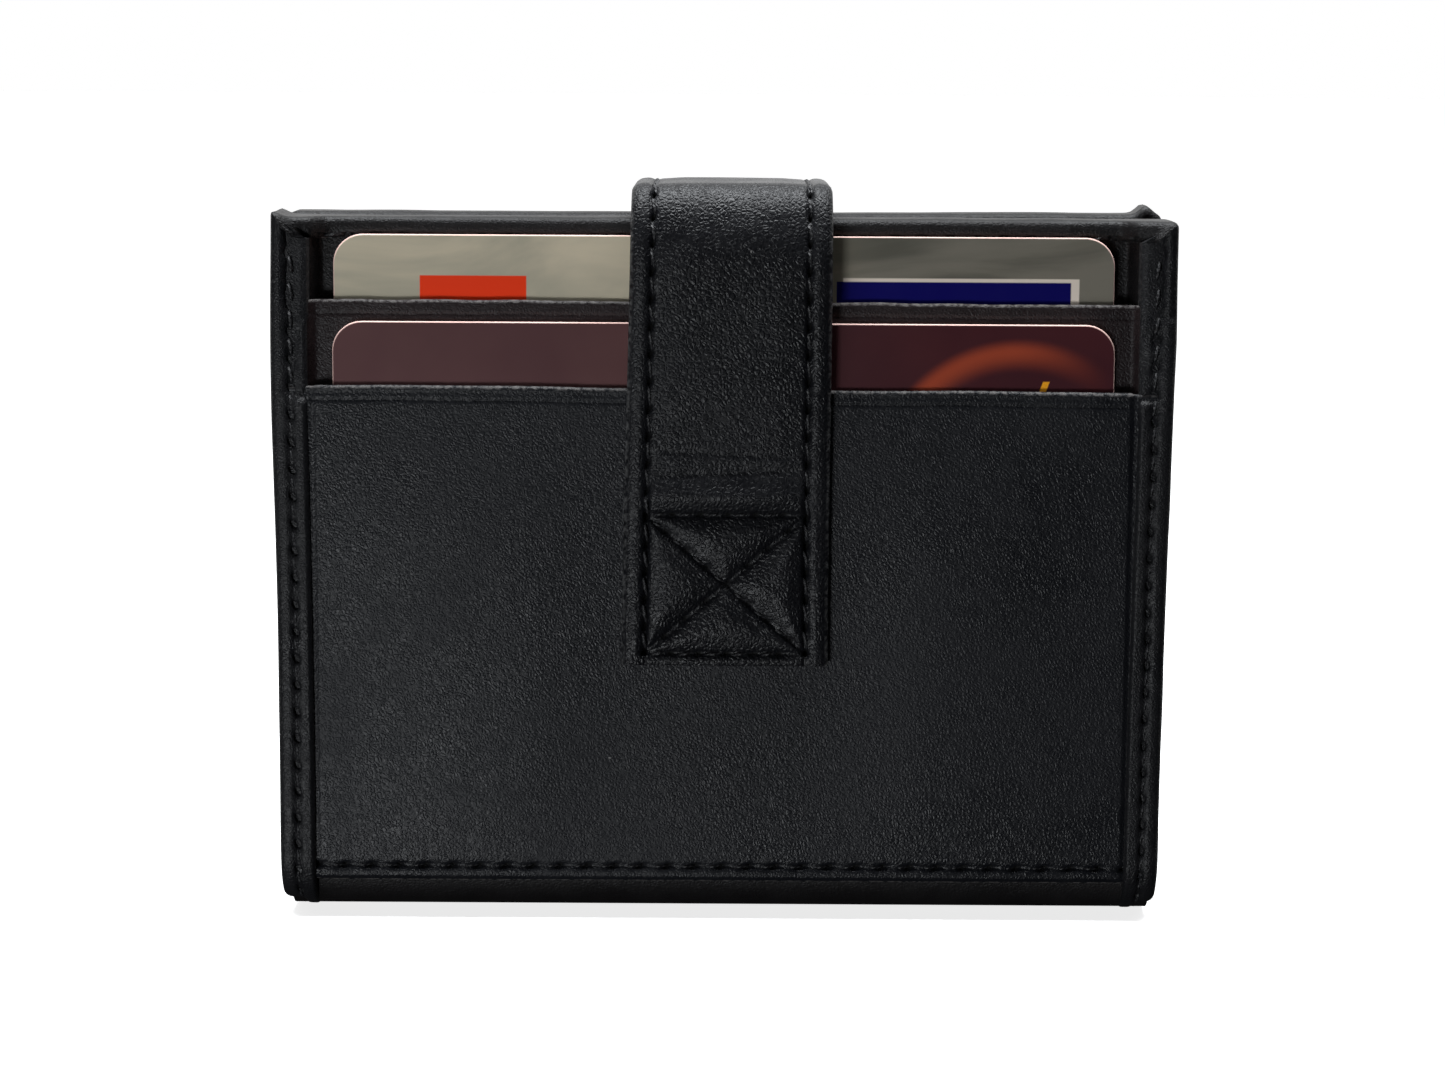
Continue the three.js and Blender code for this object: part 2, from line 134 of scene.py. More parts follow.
# %% [markdown]
# ## From a grid of points to a piece
# A strip, a panel or a band is a closed loop of points, carried from station to station. Modelling it by
# hand would mean pushing single points about. A grid worked out as one array keeps every step and every
# roll in a formula, and the same function turns any such grid into a mesh, with a UV map in metres that
# follows the leather, so that grain and thread keep their real size round every bend.

# %% Loops along a path
def skins(outer, inner, arc=4, notch=0.0):
    """Closed loops of a thin body. outer and inner are its two faces, each (stations, points, 3) in mm.
    Half circles join their ends; notch presses the middle of the half circle in, as between two layers."""
    turn = np.linspace(0, np.pi, arc + 2)[1:-1]

    def edge(a, b, away):
        middle, half = (a + b) / 2, (a - b) / 2
        reach = np.linalg.norm(half, axis=-1)[:, None, None] * away[:, None]
        bulge = np.sin(turn) * (1 - notch * bell(turn - np.pi / 2, 0.5))
        return middle[:, None] + half[:, None] * np.cos(turn)[None, :, None] + reach * bulge[None, :, None]

    last = edge(outer[:, -1], inner[:, -1], unit(outer[:, -1] - outer[:, -2]))
    first = edge(inner[:, 0], outer[:, 0], unit(outer[:, 0] - outer[:, 1]))
    return np.concatenate([outer, last, inner[:, ::-1], first], axis=1)


def cut_edge(outer, inner, arc=4):
    """1 on the half circles of skins() and 0 on its faces, for the look of a cut or rubbed edge."""
    n, a, b = outer.shape[0], outer.shape[1], inner.shape[1]
    edge_and_hole_shade = np.zeros((n, a + b + 2 * arc))
    edge_and_hole_shade[:, a:a + arc] = 1
    edge_and_hole_shade[:, a + arc + b:] = 1
    return edge_and_hole_shade


def needle_hole(along, beside, lean=0.35, long=0.48, wide=0.24):
    """1 inside a slanted oval needle hole and 0 outside, soft over a third of its size: lengths in mm."""
    a, b = along + lean * beside, beside - lean * along
    return ease((1.12 - np.hypot(a / long, b / wide)) / 0.3)


def link(name, mesh):
    """A new object with this mesh, in the scene, at the origin."""
    made = bpy.data.objects.new(name, mesh)
    bpy.context.scene.collection.objects.link(made)
    return made


def even_out(table, rows=31):
    """A running mean down the columns, so that a texture does not shift sideways at every needle hole."""
    if len(table) <= rows:
        return table
    padded = np.pad(table, ((rows // 2, rows // 2), (0, 0)), mode="edge")
    sums = np.cumsum(np.concatenate([np.zeros((1, table.shape[1])), padded]), axis=0)
    return (sums[rows:] - sums[:-rows]) / rows


def end_loops(table):
    """The same rows, with an extra one a twentieth of a step inside the first and the last."""
    return np.concatenate([table[:1], 0.95 * table[:1] + 0.05 * table[1:2], table[1:-1],
                           0.95 * table[-1:] + 0.05 * table[-2:-1], table[-1:]])


def piece(name, grid, edge_and_hole_shade=None, v=None):
    """A closed mesh from grid (stations, points round the loop, 3), in mm, with flat ends. u is the length
    round the loop, and v the length along the stations unless it is given. Faces are turned outwards.
    Its edge and hole values are, at every point, 1 on a cut edge, -1 in a needle hole, where black is painted
    as the hole's shade, and 0 elsewhere. A narrow extra loop beside each flat end keeps the end from bending
    the light on the sides."""
    if v is None:
        along = np.linalg.norm(np.diff(grid, axis=0), axis=-1).mean(axis=1)
        v = np.concatenate([[0.0], np.cumsum(along)])
    grid, v = end_loops(grid), end_loops(np.asarray(v))
    n, m, _ = grid.shape
    ring = np.concatenate([grid, grid[:, :1]], axis=1)
    u = np.cumsum(np.linalg.norm(np.diff(ring, axis=1), axis=-1), axis=1)
    u = even_out(np.concatenate([np.zeros((n, 1)), u], axis=1))
    uv = np.stack([u, np.broadcast_to(v[:, None], u.shape)], axis=-1) * MM
    i, j = np.meshgrid(np.arange(n - 1), np.arange(m), indexing="ij")
    k = (j + 1) % m
    quads = np.stack([i * m + j, i * m + k, (i + 1) * m + k, (i + 1) * m + j], -1).reshape(-1, 4)
    i, j = i.ravel(), j.ravel()
    quad_uv = np.stack([uv[i, j], uv[i, j + 1], uv[i + 1, j + 1], uv[i + 1, j]], 1)
    ends = [np.arange(m)[::-1], (n - 1) * m + np.arange(m)]
    end_uv = [uv[0, :m][::-1], uv[-1, :m]]
    points = grid.reshape(-1, 3)
    a, b, c, d = (points[quads[:, side]] for side in range(4))
    volume = (a * np.cross(b, c)).sum() + (a * np.cross(c, d)).sum()
    for end in ends:
        fan = points[end]
        volume += (fan[0] * np.cross(fan[1:-1], fan[2:])).sum()
    if volume < 0:
        quads, quad_uv = quads[:, ::-1], quad_uv[:, ::-1]
        ends, end_uv = [end[::-1] for end in ends], [end[::-1] for end in end_uv]
    mesh = bpy.data.meshes.new(name)
    mesh.from_pydata((points * MM).tolist(), [], quads.tolist() + [end.tolist() for end in ends])
    flat = np.ones(len(mesh.polygons), bool)
    flat[-2:] = False
    mesh.polygons.foreach_set("use_smooth", flat)
    layer = mesh.uv_layers.new(name="leather")
    layer.data.foreach_set("uv", np.concatenate([quad_uv.reshape(-1, 2), *end_uv]).ravel())
    if edge_and_hole_shade is not None:
        wear = mesh.attributes.new("edge_and_hole_shade", "FLOAT", "POINT")
        wear.data.foreach_set("value", end_loops(edge_and_hole_shade).ravel().astype(np.float32))
    mesh.update()
    return link(name, mesh)


print("loops of a", skins(np.zeros((2, 5, 3)), np.ones((2, 5, 3))).shape, "grid")

# %% [markdown]
# ## Where each layer lies
# The holder is a stack. Counted from the gap between the covers out to the front it has lining, board,
# cover leather, the upper card, the upper pocket, the lower card and the lower pocket. The folded edges
# hold all of it. The depths (y) come from the frame, so a new pack moves every piece with it.

# %% Read the layers
def face(node, side):
    """The y of a frame node's front (side 0) or back (side 1), in mm."""
    return corners(node)[side][1]


COVER_FACE, COVER_BACK = face("upper_card_pocket", 0) + 2.56, face("front_stiffener", 0) - 0.1
UPPER_FACE, UPPER_BACK = face("upper_card_pocket", 0), face("upper_card_pocket", 1)
LOWER_FACE, LOWER_BACK = face("lower_card_pocket", 0), face("lower_card_pocket", 1)
INSIDE_FRONT, INSIDE_BACK = face("front_binding_left", 1), face("back_binding_left", 0)
BACK_FACE = face("back_binding_left", 1) - 0.9
BAND_FACE = face("front_binding_left", 0) + 0.12
FOLD_Y, FOLD_Z, FOLD_R = 4.0, 5.15, 5.0      # middle and outer radius of the two folds beside the spine
PITCH = 3.0                                  # length of one stitch
SEAM_IN = 2.05                               # from the folded edge to its seam
print("cover", COVER_FACE, COVER_BACK, "upper", UPPER_FACE, UPPER_BACK, "lower", LOWER_FACE, LOWER_BACK)
print("inside", INSIDE_FRONT, INSIDE_BACK, "back", BACK_FACE, "band", BAND_FACE)

# %% [markdown]
# ## Pieces that cross a fold
# The leather runs on from each cover into the spine, so a piece that crosses a fold would have to bend with
# it. Here such pieces, leather, binding, lining and thread alike, only have their placement fixed into the
# mesh.


def hinge(made):
    """Fixes made's placement into its mesh; it does not make the piece follow a cover or the spine."""
    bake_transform(made)
    return made


def finish_piece(made, material, slot_name, *nodes):
    """Gives a piece its material and hides the frame nodes it stands for. slot_name is not used."""
    made.data.materials.append(material)
    if nodes:
        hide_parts(*nodes)
    print(made.name, len(made.data.polygons), "faces")
    return made

# %% [markdown]
# ## Finishes
# The parts of a finish that come back in several materials are node groups: the pebbled grain of the
# leather, the pale line where an edge is cut or rubbed, and stray dust. Each gives out only a mask, a height
# or a tone; the shader itself stays in the material.

# %% Small helpers for shader nodes
def put(tree, kind, inputs=None, **settings):
    """Adds a node; inputs maps a socket to a value or to another node's output."""
    node = tree.nodes.new(kind)
    for key, value in settings.items():
        setattr(node, key, value)
    for key, value in (inputs or {}).items():
        if isinstance(value, bpy.types.NodeSocket):
            tree.links.new(value, node.inputs[key])
        else:
            node.inputs[key].default_value = value
    return node


def calc(tree, operation, *values, clamp=False):
    """One Math node, and its result."""
    node = put(tree, "ShaderNodeMath", dict(enumerate(values)), operation=operation, use_clamp=clamp)
    return node.outputs[0]


def step_up(tree, value, low, high):
    """0 below low, 1 above high, soft in between."""
    return put(tree, "ShaderNodeMapRange", {"Value": value, "From Min": low, "From Max": high},
               interpolation_type="SMOOTHSTEP").outputs[0]


def mix_colour(tree, share, a, b):
    """Colour a where share is 0, b where it is 1."""
    return put(tree, "ShaderNodeMix", {"Factor": share, "A": a, "B": b}, data_type="RGBA").outputs["Result"]


def group(name, takes, gives):
    """An empty node group with these inputs (name, socket type, value) and outputs (name, socket type)."""
    tree = bpy.data.node_groups.new(name, "ShaderNodeTree")
    for label, kind, value in takes:
        socket = tree.interface.new_socket(label, in_out="INPUT", socket_type=kind)
        if value is not None:
            socket.default_value = value
    for label, kind in gives:
        tree.interface.new_socket(label, in_out="OUTPUT", socket_type=kind)
    return tree, tree.nodes.new("NodeGroupInput").outputs, tree.nodes.new("NodeGroupOutput").inputs


def use(tree, made, inputs):
    """Places a node group in a material and gives its outputs."""
    return put(tree, "ShaderNodeGroup", inputs, node_tree=made).outputs


FLOAT, VECTOR = "NodeSocketFloat", "NodeSocketVector"
print("shader helpers ready")

# %% [markdown]
# ### Grain
# Smooth cowhide that has been pressed and dyed shows cells of about half a millimetre with fine creases
# between them. A bump from plain noise looks like plaster. A cell pattern whose edges are creased, slightly
# bent by noise, gives the cells; a second, finer noise gives the pores; slow noise gives the uneven dye.

# %% Leather grain group
GRAIN, take, give = group("leather grain", [("Vector", VECTOR, None), ("Cells", FLOAT, 2000.0)],
                          [("Height", FLOAT), ("Tone", FLOAT), ("Patches", FLOAT)])
bend = put(GRAIN, "ShaderNodeTexNoise", {"Vector": take["Vector"], "Scale": 700.0, "Detail": 1.0})
shift = put(GRAIN, "ShaderNodeVectorMath", {0: bend.outputs["Color"], 1: (0.0005, 0.0005, 0.0)},
            operation="MULTIPLY").outputs[0]
bent = put(GRAIN, "ShaderNodeVectorMath", {0: take["Vector"], 1: shift}, operation="ADD").outputs[0]
cells = put(GRAIN, "ShaderNodeTexVoronoi", {"Vector": bent, "Scale": take["Cells"]},
            feature="DISTANCE_TO_EDGE")
crease = step_up(GRAIN, cells.outputs["Distance"], 0.0, 0.32)
pores = put(GRAIN, "ShaderNodeTexNoise", {"Vector": take["Vector"], "Scale": 5200.0, "Detail": 2.0})
wrinkle = put(GRAIN, "ShaderNodeTexNoise", {"Vector": bent, "Scale": 900.0, "Detail": 3.0})
fine = calc(GRAIN, "MULTIPLY", pores.outputs[0], 0.35)
broad = calc(GRAIN, "MULTIPLY", wrinkle.outputs[0], 0.9)
GRAIN.links.new(calc(GRAIN, "ADD", calc(GRAIN, "MULTIPLY_ADD", crease, 0.55, fine), broad), give["Height"])
dye = put(GRAIN, "ShaderNodeTexNoise", {"Vector": take["Vector"], "Scale": 260.0, "Detail": 4.0})
GRAIN.links.new(step_up(GRAIN, dye.outputs[0], 0.25, 0.75), give["Tone"])
rub = put(GRAIN, "ShaderNodeTexNoise", {"Vector": take["Vector"], "Scale": 45.0, "Detail": 3.0})
GRAIN.links.new(step_up(GRAIN, rub.outputs[0], 0.3, 0.7), give["Patches"])
print("grain group has", len(GRAIN.nodes), "nodes")

# %% [markdown]
# ### Cut edges and dust
# Where leather is cut, its pale fibres show through the black edge paint in a broken line. Dust is a few
# specks and short hairs: cells of a pattern, of which only a few are picked, each showing only its middle.

# %% Cut edge and dust groups
RUBBED, take, give = group("rubbed edge", [("Vector", VECTOR, None), ("Worn", FLOAT, 0.0),
                                           ("Amount", FLOAT, 0.6)], [("Mask", FLOAT)])
broken = put(RUBBED, "ShaderNodeTexNoise", {"Vector": take["Vector"], "Scale": 1500.0, "Detail": 3.0})
ragged = step_up(RUBBED, broken.outputs[0], 0.38, 0.62)
cut = calc(RUBBED, "MAXIMUM", take["Worn"], 0.0)
patchy = calc(RUBBED, "MULTIPLY", cut, ragged)
RUBBED.links.new(calc(RUBBED, "MULTIPLY", patchy, take["Amount"]), give["Mask"])
DUST, take, give = group("dust", [("Vector", VECTOR, None), ("Amount", FLOAT, 0.05)], [("Mask", FLOAT)])
long_way = put(DUST, "ShaderNodeMapping", {"Vector": take["Vector"], "Rotation": (0.0, 0.0, 0.6),
                                           "Scale": (1.0, 0.6, 1.0)})
specks = put(DUST, "ShaderNodeTexVoronoi", {"Vector": long_way.outputs[0], "Scale": 420.0})
near = calc(DUST, "SUBTRACT", 1.0, step_up(DUST, specks.outputs["Distance"], 0.02, 0.055))
pick = put(DUST, "ShaderNodeSeparateColor", {"Color": specks.outputs["Color"]}).outputs[0]
DUST.links.new(calc(DUST, "MULTIPLY", near, calc(DUST, "LESS_THAN", pick, take["Amount"])), give["Mask"])
print("edge group", len(RUBBED.nodes), "nodes, dust group", len(DUST.nodes), "nodes")

# %% [markdown]
# ### The leathers
# All of it is black leather, but not one black. The outer leather is dyed through and slightly blue, the
# inner pockets are thinner and look warmer, and edges that were turned and pressed are smoother. A darker
# copy paints shade on the cover leather behind the cards and round the spine, and also covers the hems.
# So one function makes each of them from its own values. Inside a needle hole the colour is painted black,
# as the hole's shade, and the leather is rough.

# %% Leather materials
def shader(name):
    """A new material's node tree, its Principled shader, and outputs for its UV map and for the attribute
    that marks cut edges and the needle holes painted black as shade.
    """
    material = bpy.data.materials.new(name)
    material.use_nodes = True
    tree = material.node_tree
    tree.nodes.clear()
    surface = put(tree, "ShaderNodeBsdfPrincipled")
    target = put(tree, "ShaderNodeOutputMaterial", {"Surface": surface.outputs[0]})
    target.is_active_output = True
    place = put(tree, "ShaderNodeUVMap", uv_map="leather").outputs[0]
    edge_and_hole_shade = put(tree, "ShaderNodeAttribute", attribute_name="edge_and_hole_shade", attribute_type="GEOMETRY").outputs["Fac"]
    return material, tree, surface, place, edge_and_hole_shade


LEATHER_GLOSS = 0.23                     # dull black leather reflects less than plastic, which has 0.5


def leather(name, dark, light, rough, cells=2000.0, height=0.00011, edge=(0.16, 0.15, 0.145, 1), dust=0.05,
            amount=0.6):
    """Black leather: dye between dark and light, grain of that many cells a metre and that height in
    metres, cut edges rubbed to the edge colour by amount, and a share of the dust's specks."""
    material, tree, surface, place, edge_and_hole_shade = shader(name)
    grain = use(tree, GRAIN, {"Vector": place, "Cells": cells})
    rubbed = use(tree, RUBBED, {"Vector": place, "Worn": edge_and_hole_shade, "Amount": amount})["Mask"]
    outside_hole_shade = calc(tree, "MULTIPLY_ADD", edge_and_hole_shade, 1.0, 1.0, clamp=True)
    specks = use(tree, DUST, {"Vector": place, "Amount": dust})["Mask"]
    tone = calc(tree, "MULTIPLY_ADD", grain["Patches"], 0.6, calc(tree, "MULTIPLY", grain["Tone"], 0.4))
    dyed = mix_colour(tree, tone, (*dark, 1), (*light, 1))
    coloured = mix_colour(tree, rubbed, dyed, edge)
    dusty = mix_colour(tree, calc(tree, "MULTIPLY", specks, 0.55), coloured, (0.35, 0.34, 0.33, 1))
    # In a needle hole the colour is painted black, as the hole's shade.
    tree.links.new(mix_colour(tree, outside_hole_shade, (0.001, 0.001, 0.001, 1), dusty), surface.inputs["Base Color"])
    surface.inputs["Specular IOR Level"].default_value = LEATHER_GLOSS
    sheen = calc(tree, "MULTIPLY_ADD", grain["Patches"], 0.10, rough - 0.05)
    matt = calc(tree, "MULTIPLY_ADD", grain["Tone"], 0.08, sheen)
    rubbed_matt = calc(tree, "MULTIPLY_ADD", rubbed, 0.25, matt)
    holed = calc(tree, "SUBTRACT", 1.0, outside_hole_shade)
    roughness = calc(tree, "MULTIPLY_ADD", holed, 0.5, rubbed_matt, clamp=True)
    tree.links.new(roughness, surface.inputs["Roughness"])
    bumps = put(tree, "ShaderNodeBump", {"Height": grain["Height"], "Strength": 0.8, "Distance": height})
    tree.links.new(bumps.outputs[0], surface.inputs["Normal"])
    return material


OUTER = leather("outer leather", (0.0040, 0.0045, 0.0062), (0.0085, 0.0090, 0.0112), 0.39, cells=2500.0,
                height=0.00006)
STRAP = leather("strap leather", (0.0032, 0.0034, 0.0046), (0.0070, 0.0072, 0.0088), 0.37, cells=2100.0,
                height=0.00010, edge=(0.09, 0.09, 0.09, 1))
INNER = leather("inner leather", (0.0070, 0.0038, 0.0044), (0.0130, 0.0076, 0.0082), 0.46, cells=2600.0,
                height=0.00006)
EDGING = leather("edging leather", (0.0045, 0.0047, 0.0058), (0.0100, 0.0100, 0.0112), 0.42, cells=2700.0,
                 height=0.00007, dust=0.08, amount=0.12)
# A darker copy of the leather: painted shade behind the cards and round the spine; the hems use it too.
SHADED_LEATHER = leather("shaded leather", (0.0028, 0.0024, 0.0026), (0.0056, 0.0048, 0.0052), 0.48, cells=2600.0,
               height=0.00006)
print("leathers:", [m.name for m in (OUTER, STRAP, INNER, EDGING, SHADED_LEATHER)])

# %% [markdown]
# ### Thread, lining, board and metal
# The thread is black bonded polyester: two strands twisted together, so its bump runs in slanted ridges.
# The lining is a fine plain weave: two sets of ridges at right angles. The board is grey fibre, and the snap
# is nickel, brushed round and a little scratched.

# %% Thread, lining, board and metal materials
WEAVE, take, give = group("weave", [("Vector", VECTOR, None), ("Threads", FLOAT, 2500.0)],
                          [("Height", FLOAT)])
split = put(WEAVE, "ShaderNodeSeparateXYZ", {0: take["Vector"]}).outputs
pace = calc(WEAVE, "MULTIPLY", take["Threads"], math.pi)
over = calc(WEAVE, "SINE", calc(WEAVE, "MULTIPLY", split[0], pace))
under = calc(WEAVE, "SINE", calc(WEAVE, "MULTIPLY", split[1], pace))
WEAVE.links.new(calc(WEAVE, "MULTIPLY", over, under), give["Height"])


def plain(name, dark, light, rough, metal=0.0, noise=900.0, bump=0.00005, threads=None, twist=None):
    """A finish of two tones in a noise: with threads it is a weave, with twist a thread's slanted ridges."""
    material, tree, surface, place, _ = shader(name)
    if not (threads or twist):
        place = put(tree, "ShaderNodeTexCoord").outputs["Object"]
    mottle = put(tree, "ShaderNodeTexNoise", {"Vector": place, "Scale": noise, "Detail": 4.0}).outputs[0]
    height = mottle
    if threads:
        height = use(tree, WEAVE, {"Vector": place, "Threads": threads})["Height"]
    if twist:
        split = put(tree, "ShaderNodeSeparateXYZ", {0: place}).outputs
        lengthwise = calc(tree, "MULTIPLY", split[1], twist)
        height = calc(tree, "SINE", calc(tree, "MULTIPLY_ADD", split[0], twist, lengthwise))
    tree.links.new(mix_colour(tree, step_up(tree, mottle, 0.3, 0.7), (*dark, 1), (*light, 1)),
                   surface.inputs["Base Color"])
    tree.links.new(calc(tree, "MULTIPLY_ADD", mottle, 0.2, rough - 0.1), surface.inputs["Roughness"])
    surface.inputs["Metallic"].default_value = metal
    bumps = put(tree, "ShaderNodeBump", {"Height": height, "Strength": 0.8, "Distance": bump})
    tree.links.new(bumps.outputs[0], surface.inputs["Normal"])
    return material


THREAD = plain("black thread", (0.003, 0.003, 0.004), (0.008, 0.008, 0.010), 0.55, twist=9000.0)
CLOTH = plain("lining cloth", (0.010, 0.010, 0.011), (0.022, 0.022, 0.024), 0.75, threads=2600.0,
              bump=0.00008)
BOARD = plain("fibre board", (0.16, 0.15, 0.13), (0.30, 0.28, 0.25), 0.85, noise=400.0)
NICKEL = plain("nickel", (0.50, 0.49, 0.46), (0.62, 0.61, 0.58), 0.28, metal=1.0, noise=1400.0, bump=0.00001)
print("other finishes:", [m.name for m in (THREAD, CLOTH, BOARD, NICKEL)])

# %% [markdown]
# ## The folded edges
# A binding is a strip of thin leather, folded round the raw edges of all the layers and sewn through. In
# section it is a U: a fat outer roll where the fold is, a hollow that the seam pulls down, and a second roll
# beside it. The thread bites at each hole, so the hollow is scalloped. A flat strip with a bump texture would
# not catch the light on its rolls, so the section is real, and is carried down the edge in short steps.

# %% The section of a folded edge
def folded_edge(front, back, inward, reach, seed, dents=(), mitres=(), hollow=0.30, thick=0.65, pull=2.3,
                sinks=(), lean=0.0, sewn_from=0.0):
    """Loops of a strip folded round an edge. front and back are the lines of its two faces (stations, 3),
    inward points from the fold to the middle. In the section, a is the way in from the fold and b the height:
    b = -fall at the outer roll - a bell at the seam - a rounded inner lip + slow unevenness. dents are
    (v, a, length, width, depth) ovals, and sinks are (v, length, depth) steps up which its inner part drops,
    where the layers under it run out. At an end named in mitres the strip is cut back by a, at 45 degrees.
    reach is a number or one for each station; lean slants the needle holes; the first is at sewn_from."""
    deep = np.linalg.norm(front - back, axis=1)[:, None]
    out = unit(front - back)
    along = unit(np.gradient(front, axis=0))
    v = np.concatenate([[0.0], np.cumsum(np.linalg.norm(np.diff(front, axis=0), axis=1))])[:, None]
    r = np.minimum(0.95, 0.46 * deep)
    reach = np.broadcast_to(np.asarray(reach, float).reshape(-1, 1), deep.shape)
    slack = wander(seed)
    beat = (v - sewn_from + PITCH / 2) % PITCH - PITCH / 2
    seam = SEAM_IN + 0.05 * np.sin(2 * np.pi * (v - sewn_from) / PITCH) + 0.06 * slack(v, 0.0)

    def height(a):
        bite = 1 + 0.35 * np.cos(2 * np.pi * beat / PITCH)
        b = -0.32 * np.clip((1.5 - a) / 1.5, 0, 1) ** 2 - hollow * bite * bell(a - seam, 0.42)
        b = b - 0.45 * np.clip((a - reach + 0.45) / 0.45, 0, 1) ** 2.2 + 0.05 * slack(v, a)
        b = b - 0.55 * needle_hole(beat, a - seam, lean, 0.55, 0.31)
        for at, middle, long, wide, depth in dents:
            b = b - depth * bell(v - at, long) * bell(a - middle, wide)
        for at, long, depth in sinks:
            b = b - depth * ease((at - v) / long + 0.5) * ease((a - 0.7) / 2.2)
        return b

    t = np.linspace(0, 1, 32)
    face_a = reach + (r - reach) * t
    turn = np.linspace(0, np.pi / 2, 7)[1:-1]
    corner_a = r * (1 - np.sin(turn))
    wall_b = -r + (2 * r - deep) * np.linspace(0, 1, 9)
    rear_a = r + (reach - r) * np.linspace(0, 1, 16)
    rear_lip = 0.3 * np.clip((rear_a - reach + 0.4) / 0.4, 0, 1) ** 2
    rear_b = -deep + 0.20 * bell(rear_a - SEAM_IN, 0.40) + rear_lip
    corner_fall = height(r) * np.cos(turn)
    a = np.concatenate([face_a, corner_a, np.zeros_like(wall_b) - 0.04 * slack(v, 30 + wall_b),
                        corner_a[:, ::-1], rear_a], axis=1)
    b = np.concatenate([height(face_a), -r * (1 - np.cos(turn)) + corner_fall, wall_b,
                        -deep + r * (1 - np.sin(turn[None, :])), rear_b], axis=1)
    skin = np.minimum(thick, 0.36 * deep)
    span = np.linspace(0, 1, 5)
    under_a = np.concatenate([reach + (skin - reach) * span, np.repeat(skin, 3, axis=1),
                              skin + (reach - skin) * span], axis=1)
    under_b = np.concatenate([-skin + 0 * span, -skin + (2 * skin - deep) * np.array([0.25, 0.5, 0.75]),
                              skin - deep + 0 * span], axis=1)

    def place(a, b):
        points = front[:, None] + inward * a[..., None] + out[:, None] * b[..., None]
        for end in mitres:
            near = 1 - ease((v - v[0] if end == 0 else v[-1] - v) / 5.0)
            back = (1 if end == 0 else -1) * near * np.minimum(a, pull)
            points = points + along[:, None] * back[..., None]
        return points

    outer, inner = place(a, b), place(under_a, under_b)
    edge_and_hole_shade = cut_edge(outer, inner)
    # Needle holes get -1, so black is painted there as their shade.
    edge_and_hole_shade[:, :32] = -needle_hole(beat, face_a - seam, lean, 0.55, 0.31)
    return skins(outer, inner), edge_and_hole_shade


def round_corner(grid, side, edge_z, up, radius):
    """Makes the corner at x = side * HALF, z = edge_z round: the square of that radius becomes a disc."""
    dx = side * grid[..., 0] - (HALF - radius)
    dz = up * (grid[..., 2] - edge_z) + radius
    inside = (dx > 0) & (dz > 0)
    shrink = np.where(inside, np.maximum(dx, dz) / np.maximum(np.hypot(dx, dz), 1e-9), 1.0)
    grid = grid.copy()
    grid[..., 0] = np.where(inside, side * (HALF - radius + dx * shrink), grid[..., 0])
    grid[..., 2] = np.where(inside, edge_z + up * (dz * shrink - radius), grid[..., 2])
    return grid


def spread(points):
    """The bindings are not quite straight: x moves out or in by up to half a millimetre along the sides."""
    points = points.copy()
    x, z = points[..., 0], points[..., 2]
    left = 0.10 - 0.05 * bell(z - 30, 14) + 0.45 * bell(z - 64, 18)
    out = np.where(x < 0, left, -0.24 + 0.72 * np.clip((z - 5) / 60, 0, 1) ** 2)
    points[..., 0] = x + np.sign(x) * out * ease((abs(x) - 44.0) / 5.0)
    return points


def lifted(grid):
    """The back cover's right corner has been knocked up into a small point."""
    grid = grid.copy()
    x, z = grid[..., 0], grid[..., 2]
    grid[..., 2] = z + (0.15 * ease((x - 8.0) / 30.0) + 1.0 * bell(x - 47.6, 0.9)) * ease((z - 73.0) / 5.0)
    return grid


def pointed(grid):
    """The front cover's left corner sticks up, where the turned leather is thickest."""
    grid = grid.copy()
    x, z = grid[..., 0], grid[..., 2]
    grid[..., 2] = z + 0.70 * bell(x + 49.3, 1.2) * ease((z - 74.0) / 4.5)
    return grid


print("folded edges reach in", round(BAND, 2), "mm; the seam is", SEAM_IN, "mm in")

# %% [markdown]
# ### The side bindings
# Each runs from the top corner down the cover, round the fold and on to the middle of the spine. In front
# the stack under it grows from one layer of leather to three as it passes the two pockets, so the binding
# steps forward at each, with small puckers. The top ends are mitred against the hem.

# %% Lines that the side bindings follow
CURL = 3.4                               # where the turn under the spine ends, from the middle
TURN_Z = 7.0                             # the height where the turn starts


def binding_lines(side, x, depth, inside, gap=0.4):
    """The outer and inner line of a side binding: straight down at depth(z), a quarter of an ellipse under
    the fold, and straight to the middle of the spine. side is -1 in front and 1 behind."""
    down = steps(TOP, TURN_Z, gap)
    turn = np.linspace(0, np.pi / 2, 29)[1:]
    flat = steps(CURL, 0.0, 0.4)[1:]
    swing = depth(TURN_Z) - CURL
    y = np.concatenate([depth(down), CURL + swing * np.cos(turn), flat])
    z = np.concatenate([down, TURN_Z * (1 - np.sin(turn)), 0 * flat])
    share = turn / (np.pi / 2)
    inner_y = np.concatenate([inside + 0 * down, inside + (3.1 - inside) * share, flat * 3.1 / CURL])
    inner_z = np.concatenate([down + 0.5 * (1 - ease((down - TURN_Z) / 6)),
                              TURN_Z + 0.5 + (1.2 - TURN_Z) * share, 1.7 + 0 * flat])
    line = np.stack([np.full_like(y, x), side * y, z], axis=1)
    inner = np.stack([np.full_like(y, x), side * inner_y, inner_z], axis=1)
    return line, inner


def front_depth(z):
    """Depth of the front bindings, which thin out slowly towards the top."""
    return -BAND_FACE - 1.15 * ease((z - 46.0) / 32.0)


def back_depth(z):
    """Depth of the back bindings, which is even."""
    return BACK_FACE + 0.9 + 0.0 * z


